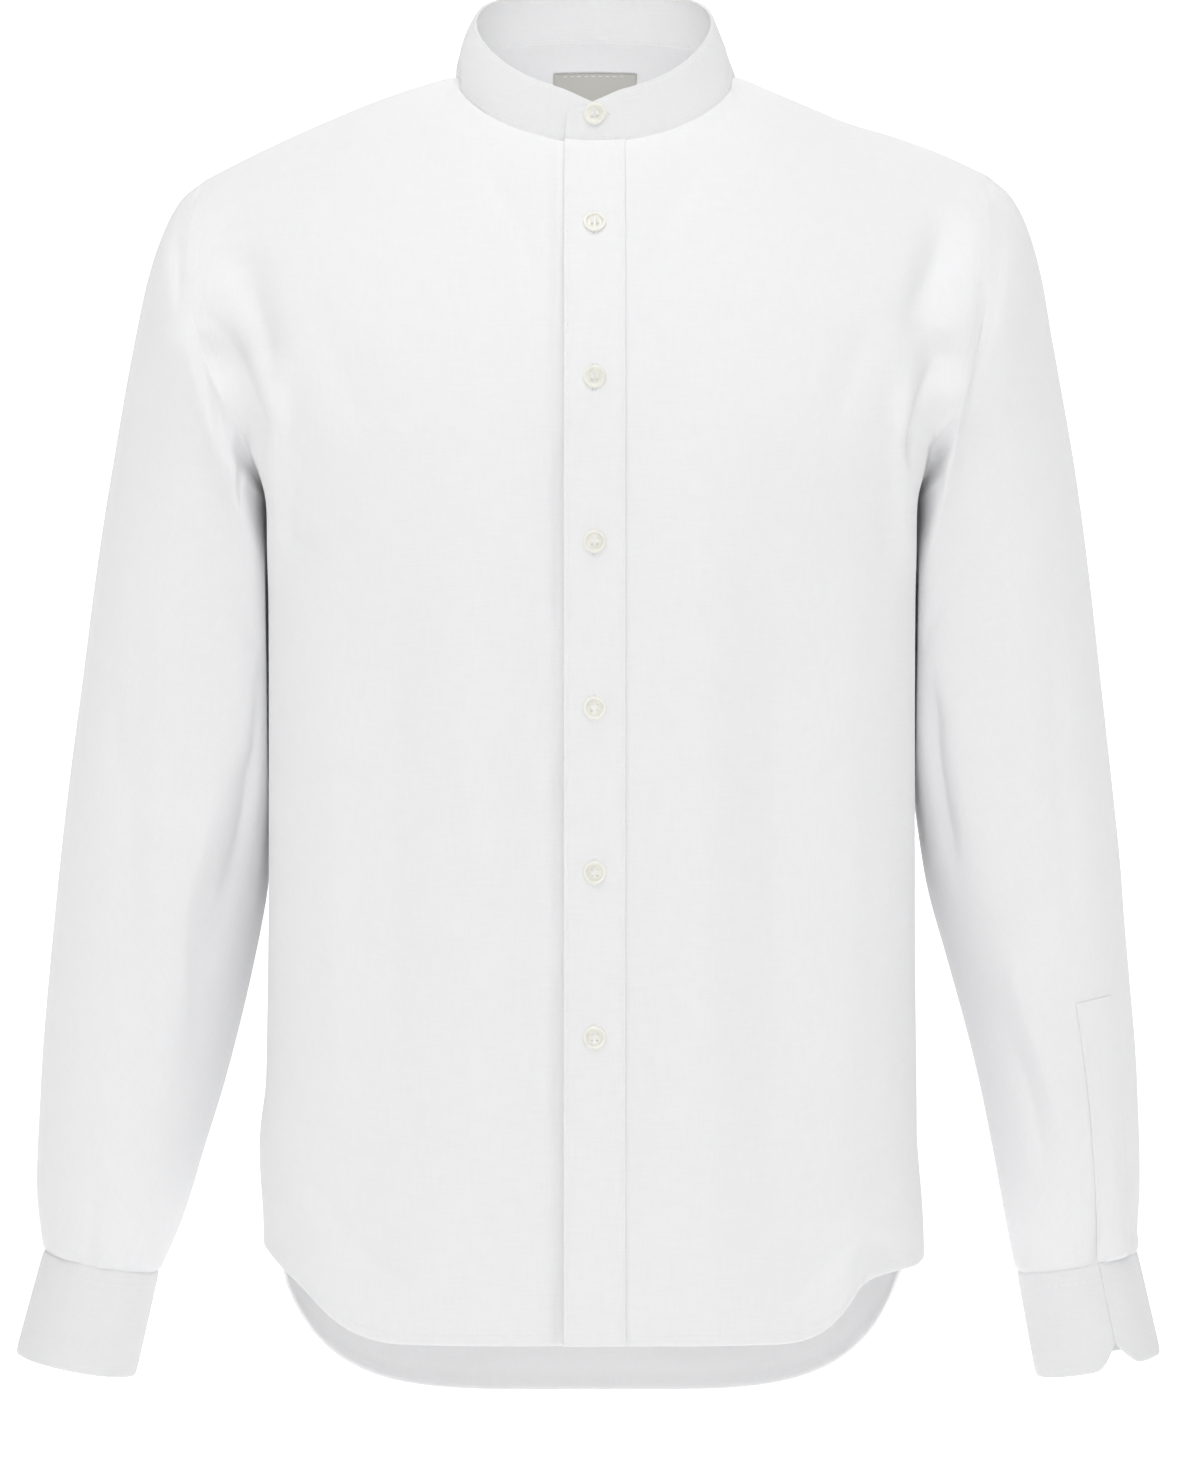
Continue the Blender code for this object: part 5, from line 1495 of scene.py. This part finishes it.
class SHIRT_OT_sleeve_strips(bpy.types.Operator):
    """Make the strip beside each sleeve's slit"""
    bl_idname = "shirt.sleeve_strips"
    bl_label = "Sleeve strips"

    def execute(self, context):
        settings = context.scene.shirt_cloth
        for side in SIGN:
            sleeve = pattern()["sleeve_" + side]
            first = (CHEST_ROWS // 2 + PLACKET_COLUMN[side]) * AROUND_FINE[0]
            low = sum(ALONG_FINE[:SLEEVE_ROWS - SLEEVE_PLACKET_ROWS])
            shape = sleeve[first:first + 2 * AROUND_FINE[0] + 1, low:-TUCK_RINGS]
            lift = SEAM_GAP + settings.pressed_wall
            name = "sleeve_placket_" + side
            piece = cloth_piece(name, shape, settings.pressed_wall, lift=lift,
                                rounded=("first", "last", "low"))
            lines = [inset_line(shape, edge, SLEEVE_STRIP_STITCH, slice(1, -1), lift)
                     for edge in ("first", "last", "low")]
            thread = sew(name + "_stitches", lines, width=0.0003)
        return {"FINISHED"}


CUFF_NOTCH = 0.93          # share of a corner's rounding that its end rises by
CUFF_NOTCH_POWER = 1.7
CUFF_UNDER_RISE = 0.25     # slope of the lower end's hem, where the lap covers it


def cuff_reach(share):
    """Share of its full height that a cuff has there: its upper end is rounded, and its lower
    end rises from beside the lap, so the lap opens in a notch at the hem."""
    lap = CUFF_LENGTH * CUFF_OVERLAP / (2 * math.pi + CUFF_OVERLAP)
    away = lap + CUFF_CORNER - share * CUFF_LENGTH
    if share > 0.5:
        away = CUFF_CORNER - (1 - share) * CUFF_LENGTH
    corner = min(max(away / CUFF_CORNER, 0.0), 1.0) ** CUFF_NOTCH_POWER
    rise = CUFF_NOTCH * CUFF_CORNER * corner + CUFF_UNDER_RISE * max(away - CUFF_CORNER, 0.0)
    return 1 - rise / CUFF_HEIGHT


def cuff_shape(side):
    """A cuff's fine grid, from its upper end round the wrist to its lower end."""
    rows = np.linspace(0, 1, 19)
    # finer near the two ends, for their rounded corners
    shares = np.concatenate([np.linspace(0, 0.16, 25)[:-1], np.linspace(0.16, 0.94, 81)[:-1],
                             np.linspace(0.94, 1, 15)])
    shape = np.zeros((len(shares), len(rows), 9))
    for s, share in enumerate(shares):
        turn, rise = cuff_frame(side, share)
        reach = cuff_reach(share)
        for k, row in enumerate(rows):
            point = oval_point(CUFF, side, reach * row, turn, rise)
            out = point - oval_point(CUFF, side, reach * row, turn, rise - 0.01)
            shape[s, k, :3], shape[s, k, 3:6] = point, out.normalized()
    shape[..., 6] = 1
    shape[..., 7] = run_length(shape[..., :3], 0)
    shape[..., 8] = run_length(shape[..., :3], 1)
    return shape


def cuff_frame(side, share):
    """Where a cuff's strip is at a share of its length: turn, and how far it stands out."""
    start = math.pi / 2 + math.radians(CUFF_END_ANGLE[side])
    turn = start + CUFF_OVERLAP - share * (2 * math.pi + CUFF_OVERLAP)
    lap = 2 * math.pi * share * (1 + CUFF_OVERLAP / (2 * math.pi)) - 2 * math.pi
    rise = BAND_CLOTH + SEAM_GAP
    before, over = CUFF_LAP_RISE
    return turn, rise * ease((lap + before) / over)


class SHIRT_OT_cuffs(bpy.types.Operator):
    """Make the two barrel cuffs"""
    bl_idname = "shirt.cuffs"
    bl_label = "Cuffs"

    def execute(self, context):
        settings = context.scene.shirt_cloth
        for side in SIGN:
            shape = cuff_shape(side)
            depth = np.minimum(shape[..., 8], shape[:, -1:, 8] - shape[..., 8])
            puff = CUFF_PUFF * ease(depth / 0.005)
            puff -= CUFF_LAP_PRESS * ease(1 - (shape[-1:, :, 7] - shape[..., 7]) / CUFF_LAP_FADE)
            name = "cuff_" + side
            piece = cloth_piece(name, shape, settings.band_wall + puff, lift=puff,
                                rounded=("first", "last", "low", "high"), seams=("low", "high"),
                                material=FUSED_POPLIN)
            lines = [inset_line(shape, edge, BAND_STITCH, slice(2, -2))
                     for edge in ("low", "high", "first")]
            lines.append(inset_line(shape, "low", CUFF_TURN_STITCH, slice(4, -4), 0.0003))
            thread = sew(name + "_stitches", lines)
        return {"FINISHED"}


class SHIRT_OT_label(bpy.types.Operator):
    """Make the bare label inside the back of the neck"""
    bl_idname = "shirt.label"
    bl_label = "Label"

    def execute(self, context):
        yoke = pattern()["yoke"]
        middle, step = (len(yoke) - 1) // 2, BACK_FINE[BACK_COLUMNS // 2]
        low, high = [round((row - BODY_ROWS - YOKE_SEAM_ROW) * ROW_FINE[-1]) for row in LABEL_ROWS]
        shape = yoke[middle - step:middle + step + 1, low:high + 1].copy()
        shape[..., 3:6] *= -1
        lift = CLOTH + SEAM_GAP + LABEL_CLOTH
        piece = cloth_piece("neck_label", shape, LABEL_CLOTH, lift=lift,
                            rounded=("first", "last", "low", "high"), material=TAPE)
        lines = [inset_line(shape, edge, LABEL_STITCH, slice(1, -1), lift) for edge in ("low", "high")]
        thread = sew("neck_label_stitches", lines)
        return {"FINISHED"}


# ---- buttons ---------------------------------------------------------------------------------
# A button's face, from its rim inwards: width as a share of its radius, and sink of its depth.
BUTTON_FACE = ((0.26, 0.0), (0.10, 0.30), (0.30, 0.05))
BUTTON_ROUNDING = 0.22     # of its depth
STRAND_SPACING = 0.00035
STRAND_RADIUS = 0.00022
SEAT_GAP = 0.0003          # between a button and the cloth under it
CUFF_BUTTON_ROW = 0.48     # share of the cuff's height down to its button
CUFF_BUTTON_LAP = 0.45     # share of the lap from the cuff's upper end to it
HOLE_LENGTH, CUFF_HOLE_LENGTH = 0.0150, 0.0125
HOLE_STITCH_STEP = 0.00042
HOLE_EDGES = (0.0003, 0.0014)           # a buttonhole's stitches run from its slit out to this
HOLE_STRAND_RADIUS = 0.00021


def select_only(*objects):
    bpy.ops.object.select_all(action="DESELECT")
    for item in objects:
        item.select_set(True)
    bpy.context.view_layer.objects.active = objects[0]


def turned_button(name, radius, settings):
    """A button modelled once, lying flat at the origin with its face up."""
    bpy.ops.object.select_all(action="DESELECT")
    bpy.ops.mesh.primitive_cylinder_add(vertices=48, radius=radius, depth=settings.depth,
                                        location=(0, 0, settings.depth / 2))
    button = bpy.context.active_object
    button.name = button.data.name = name
    bpy.ops.object.mode_set(mode="EDIT")
    bpy.ops.mesh.select_mode(type="FACE")
    bpy.ops.mesh.select_all(action="DESELECT")
    bpy.ops.object.mode_set(mode="OBJECT")
    for face in button.data.polygons:
        face.select = face.normal.z > 0.9
    bpy.ops.object.mode_set(mode="EDIT")
    for width, sink in BUTTON_FACE:
        bpy.ops.mesh.inset(thickness=radius * width, depth=-settings.depth * sink)
    bpy.ops.object.mode_set(mode="OBJECT")
    rounded = button.modifiers.new("rounded", "BEVEL")
    rounded.width, rounded.segments = settings.depth * BUTTON_ROUNDING, 3
    rounded.limit_method = "ANGLE"
    rounded.angle_limit = math.radians(30)
    select_only(button)
    bpy.ops.object.modifier_apply(modifier=rounded.name)
    scale = radius / settings.radius
    away = settings.hole_spread * scale
    for n in range(4):
        turn = math.radians(45 + 90 * n)
        bpy.ops.object.select_all(action="DESELECT")
        bpy.ops.mesh.primitive_cylinder_add(
            vertices=16, radius=settings.hole * scale, depth=settings.depth * 4,
            location=(away * math.cos(turn), away * math.sin(turn), settings.depth / 2))
        drill = bpy.context.active_object
        cut = button.modifiers.new("hole", "BOOLEAN")
        cut.operation, cut.object, cut.solver = "DIFFERENCE", drill, "EXACT"
        select_only(button)
        bpy.ops.object.modifier_apply(modifier=cut.name)
        bpy.data.objects.remove(drill, do_unlink=True)
    select_only(button)
    bpy.ops.object.shade_smooth_by_angle(angle=math.radians(35))
    button.data.materials.append(finish(BUTTON_RESIN))
    return button


def thread_bars(settings, scale):
    """Sewing thread through a button's holes: two bars, each of three strands."""
    bars = []
    away = settings.hole_spread * scale * math.cos(math.radians(45))
    top = settings.depth * 0.66
    t = np.linspace(-1, 1, 9)
    for x in (-away, away):
        for strand in (-STRAND_SPACING, 0.0, STRAND_SPACING):
            points = np.stack([np.full(len(t), x + strand), t * away * 1.12,
                               top + 0.00045 - 0.0011 * np.abs(t) ** 5], axis=-1)
            bars.append((points, np.tile([0.0, 0.0, 1.0], (len(t), 1))))
    return bars


def tube(points, ups, radius, sides=6):
    """Points and faces of a round strand along a line."""
    along = unit(np.gradient(points, axis=0))
    side = unit(np.cross(along, ups))
    up = np.cross(side, along)
    turns = np.arange(sides) / sides * 2 * math.pi
    rings = (points[:, None] + radius * (side[:, None] * np.cos(turns)[:, None]
                                         + up[:, None] * np.sin(turns)[:, None]))
    faces = [(k * sides + s, k * sides + (s + 1) % sides, (k + 1) * sides + (s + 1) % sides,
              (k + 1) * sides + s) for k in range(len(points) - 1) for s in range(sides)]
    faces += [tuple(range(sides))[::-1], tuple((len(points) - 1) * sides + s for s in range(sides))]
    return rings.reshape(-1, 3), faces


def strands(name, lines, radius, sides=6):
    """One object of several strands."""
    points, faces = [], []
    for line, ups in lines:
        more, around = tube(line, ups, radius, sides)
        faces += [tuple(i + len(points) for i in face) for face in around]
        points += more.tolist()
    return add_mesh(name, points, faces, finish(THREAD))


def button_seats():
    """Where each button sits: its middle on the cloth, its facing and the way up."""
    settings = bpy.context.scene.shirt_cloth
    front, collar = pattern()["left_front"], pattern()["collar"]
    column = sum(FRONT_FINE[:PLACKET_STEPS // 2])
    lift = SEAM_GAP + settings.strip_wall + SEAT_GAP
    seats = {"button_%d" % n: seat_on(front[column], level, lift)
             for n, level in enumerate(BUTTON_LEVELS, 1)}
    seats["collar_button"] = seat_on(collar[column], COLLAR_BUTTON_Z, SEAT_GAP)
    turn = math.pi / 2 + math.radians(CUFF_END_ANGLE["right"]) + CUFF_OVERLAP * CUFF_BUTTON_LAP

    def on_cuff(row, turn, rise=BAND_CLOTH + SEAM_GAP + CUFF_PUFF):
        return oval_point(CUFF, "right", row, turn, rise)

    point = on_cuff(CUFF_BUTTON_ROW, turn)
    above = on_cuff(CUFF_BUTTON_ROW - 0.08, turn) - point
    normal = above.cross(on_cuff(CUFF_BUTTON_ROW, turn + 0.02) - point).normalized()
    if normal.dot(point - on_cuff(CUFF_BUTTON_ROW, turn, -0.03)) < 0:
        normal = -normal
    seats["cuff_button_right"] = point, normal, above.normalized()
    return seats


def seat_on(line, level, lift):
    """The point, facing and way up at a height on a line of the cloth."""
    n = int(np.searchsorted(line[:, 2], level)) - 1
    t = (level - line[n, 2]) / (line[n + 1, 2] - line[n, 2])
    at = line[n] + (line[n + 1] - line[n]) * t
    normal = Vector(at[3:6]).normalized()
    up = Vector(line[n + 1, :3] - line[n, :3]).normalized()
    return Vector(at[:3]) + normal * lift, normal, up


def seat_matrix(seat):
    point, normal, up = seat
    side = up.cross(normal).normalized()
    up = normal.cross(side)
    turn = Matrix((side, up, normal)).transposed().to_4x4()
    return Matrix.Translation(point) @ turn


class SHIRT_OT_buttons(bpy.types.Operator):
    """Make the buttons and the thread that holds them"""
    bl_idname = "shirt.buttons"
    bl_label = "Buttons"

    def execute(self, context):
        settings = context.scene.shirt_buttons
        seats = button_seats()
        for radius, on_cuff in ((settings.radius, False), (settings.cuff_radius, True)):
            model = turned_button("button_model", radius, settings)
            bars = strands("thread_model", thread_bars(settings, radius / settings.radius),
                           STRAND_RADIUS)
            for name in [name for name in seats if name.startswith("cuff") == on_cuff]:
                place = seat_matrix(seats[name])
                for source, ending, slot in ((model, "_face", "button"), (bars, "_thread", None)):
                    mesh = source.data.copy()
                    mesh.name = name + ending
                    mesh.transform(place)
                    piece = bpy.data.objects.new(name + ending, mesh)
                    context.scene.collection.objects.link(piece)
                    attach(piece, "root")
                    if slot:
                        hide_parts(name)
            for source in (model, bars):
                bpy.data.objects.remove(source, do_unlink=True)
        return {"FINISHED"}


class SHIRT_OT_buttonholes(bpy.types.Operator):
    """Work the buttonholes: a slit edged with close thread"""
    bl_idname = "shirt.buttonholes"
    bl_label = "Buttonholes"

    def execute(self, context):
        lines = []
        for name, seat in button_seats().items():
            # upright on the strip, level on the two bands and set a little towards their ends
            upright = name.startswith("button")
            length = CUFF_HOLE_LENGTH if name.startswith("cuff") else HOLE_LENGTH
            along = seat_matrix(seat).to_3x3() @ Vector((0, 1, 0) if upright else (1, 0, 0))
            normal = seat[1]
            side = along.cross(normal)
            middle = seat[0] - normal * SEAT_GAP + along * (0.0 if upright else 0.0012)
            for t in np.arange(-length / 2, length / 2, HOLE_STITCH_STEP):
                for way in (-1, 1):
                    a, b = (middle + along * float(t) + side * (way * out) for out in HOLE_EDGES)
                    curve = [tuple(a), tuple((a + b) / 2 + normal * 0.00035), tuple(b)]
                    lines.append((np.array(curve), np.tile(tuple(normal), (3, 1))))
        piece = strands("buttonholes", lines, HOLE_STRAND_RADIUS, 4)
        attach(piece, "root")
        return {"FINISHED"}


# ---- studio ----------------------------------------------------------------------------------
CAMERA_X = 0.005
WORLD_LIGHT = 0.06
COVE_RADIUS = 0.9          # of the curve from floor to wall
COVE_STEPS = 8
WALL_HEIGHT = 3.5
COVE_GLOW = (-1.45, -1.32) # levels between which the floor's glow becomes the wall's
BACK_GLOW = (-2.0, 4.0, 0.30)           # painted glow of the paper: from this y it grows to full at that y, from this share, so it is dimmer in front and at the sides

LIGHTS = (
    # name, place, aim, size, power
    ("overhead", (-0.05, -1.0, 2.6), (0, 0, -0.35), 3.0, 69),
    ("front", (0.0, -3.4, -0.35), (0, 0, -0.35), 0.9, 11),
    ("neck", (0.0, -0.015, -0.075), (0, 0.0, 0.3), 0.05, 0.055),
)


def studio_paper(name, tint, wall_glow, floor_glow):
    """Seamless studio paper, unprinted; floor and curved wall give off a painted glow of their own, full
    behind the shirt and dimmer in front and at the sides.
    """
    made, tree = blank(name)
    place = add(tree, "ShaderNodeTexCoord").outputs["Object"]
    axes = add(tree, "ShaderNodeSeparateXYZ", Vector=place)
    low, high = COVE_GLOW
    up = add(tree, "ShaderNodeMapRange", {"interpolation_type": "SMOOTHSTEP"},
             Value=axes.outputs["Z"], From_Min=low, From_Max=high, To_Min=floor_glow,
             To_Max=wall_glow).outputs[0]
    near, far, least = BACK_GLOW
    behind = add(tree, "ShaderNodeMapRange", {"interpolation_type": "SMOOTHSTEP"},
                 Value=axes.outputs["Y"], From_Min=near, From_Max=far, To_Min=least).outputs[0]
    # painted glow: the paper gives off light though it is no lamp, and that light also falls on the
    # shirt
    glow = add(tree, "ShaderNodeMath", {"operation": "MULTIPLY"}, _0=up, _1=behind).outputs[0]
    shader = add(tree, "ShaderNodeBsdfPrincipled", Base_Color=tint, Roughness=0.9,
                 Emission_Color=(1, 1, 1, 1), Emission_Strength=glow)
    finish_with(tree, shader)
    return made


def soft_box(name, place, aim, size, power):
    light = bpy.data.lights.new(name, "AREA")
    light.shape, light.size, light.energy = "DISK", size, power
    item = bpy.data.objects.new(name, light)
    item.location = place
    item.rotation_euler = (Vector(aim) - Vector(place)).to_track_quat("-Z", "Y").to_euler()
    bpy.context.scene.collection.objects.link(item)


def studio_floor(settings, tint):
    """A round paper floor, curved up all round into a low wall."""
    level = settings.floor_level
    bpy.ops.object.select_all(action="DESELECT")
    bpy.ops.mesh.primitive_circle_add(vertices=96, radius=settings.radius, fill_type="NGON",
                                      location=(0, 0, level))
    floor = bpy.context.active_object
    floor.name = floor.data.name = "studio_floor"
    bpy.ops.object.mode_set(mode="EDIT")
    bpy.ops.mesh.select_mode(type="EDGE")
    bpy.ops.mesh.select_all(action="SELECT")
    bpy.ops.mesh.region_to_loop()
    step = math.radians(90 / COVE_STEPS)
    for n in range(COVE_STEPS):
        run = COVE_RADIUS * step * math.cos(step * (n + 0.5))
        rise = COVE_RADIUS * step * math.sin(step * (n + 0.5))
        grow = 1 + run / (settings.radius + COVE_RADIUS * math.sin(step * n))
        bpy.ops.mesh.extrude_edges_move(TRANSFORM_OT_translate={"value": (0, 0, rise)})
        bpy.ops.transform.resize(value=(grow, grow, 1), center_override=(0, 0, level))
    bpy.ops.mesh.extrude_edges_move(TRANSFORM_OT_translate={"value": (0, 0, WALL_HEIGHT)})
    bpy.ops.mesh.select_all(action="SELECT")
    bpy.ops.mesh.normals_make_consistent(inside=True)
    bpy.ops.object.mode_set(mode="OBJECT")
    floor.data.transform(Matrix.Translation((0, 0, level)))
    floor.location = (0, 0, 0)
    floor.data.shade_smooth()
    floor.data.materials.append(studio_paper("seamless studio paper", tint, settings.wall_glow,
                                             settings.floor_glow))
    return floor


class SHIRT_OT_stage(bpy.types.Operator):
    """Make the plain studio: a pale round floor with a curved wall, soft light and the camera"""
    bl_idname = "shirt.stage"
    bl_label = "Studio"

    def execute(self, context):
        scene = context.scene
        settings = scene.shirt_stage
        floor = studio_floor(settings, tuple(scene.shirt_colours.floor))

        world = bpy.data.worlds.new("studio_light")
        world.use_nodes = True
        inputs = world.node_tree.nodes["Background"].inputs
        inputs["Color"].default_value = (1, 1, 1, 1)
        inputs["Strength"].default_value = WORLD_LIGHT
        scene.world = world
        for light in LIGHTS:
            soft_box(*light)
        scene.view_settings.view_transform = "Standard"

        camera = bpy.data.cameras.new("camera")
        camera.sensor_fit, camera.sensor_height, camera.lens = "VERTICAL", 24, settings.lens
        item = bpy.data.objects.new("camera", camera)
        item.location = (CAMERA_X, -settings.camera_distance, settings.camera_height)
        item.rotation_euler = (math.radians(90), 0, 0)
        scene.collection.objects.link(item)
        scene.camera = item
        return {"FINISHED"}


class SHIRT_PT_panel(bpy.types.Panel):
    """The shirt's sizes, colours and pieces, in the sidebar"""
    bl_idname = "SHIRT_PT_panel"
    bl_label = "Mandarin collar shirt"
    bl_space_type = "VIEW_3D"
    bl_region_type = "UI"
    bl_category = "Shirt"

    def draw(self, context):
        for key, group in SETTINGS.items():
            box = self.layout.box()
            for name in group.__annotations__:
                box.prop(getattr(context.scene, key), name)
        for operator in OPERATORS:
            self.layout.operator(operator.bl_idname)


OPERATORS = (SHIRT_OT_fronts, SHIRT_OT_back, SHIRT_OT_sleeves, SHIRT_OT_collar, SHIRT_OT_strip,
             SHIRT_OT_sleeve_strips, SHIRT_OT_cuffs, SHIRT_OT_label, SHIRT_OT_buttons,
             SHIRT_OT_buttonholes, SHIRT_OT_stage)


def register():
    for group in (*SETTINGS.values(), *OPERATORS, SHIRT_PT_panel):
        bpy.utils.register_class(group)
    for key, group in SETTINGS.items():
        setattr(bpy.types.Scene, key, PointerProperty(type=group))


def unregister():
    for key in SETTINGS:
        delattr(bpy.types.Scene, key)
    for group in reversed((*SETTINGS.values(), *OPERATORS, SHIRT_PT_panel)):
        bpy.utils.unregister_class(group)


def main():
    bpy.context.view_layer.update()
    register()
    for operator in OPERATORS:
        group, name = operator.bl_idname.split(".")
        getattr(getattr(bpy.ops, group), name)()


if __name__ == "__main__":
    main()
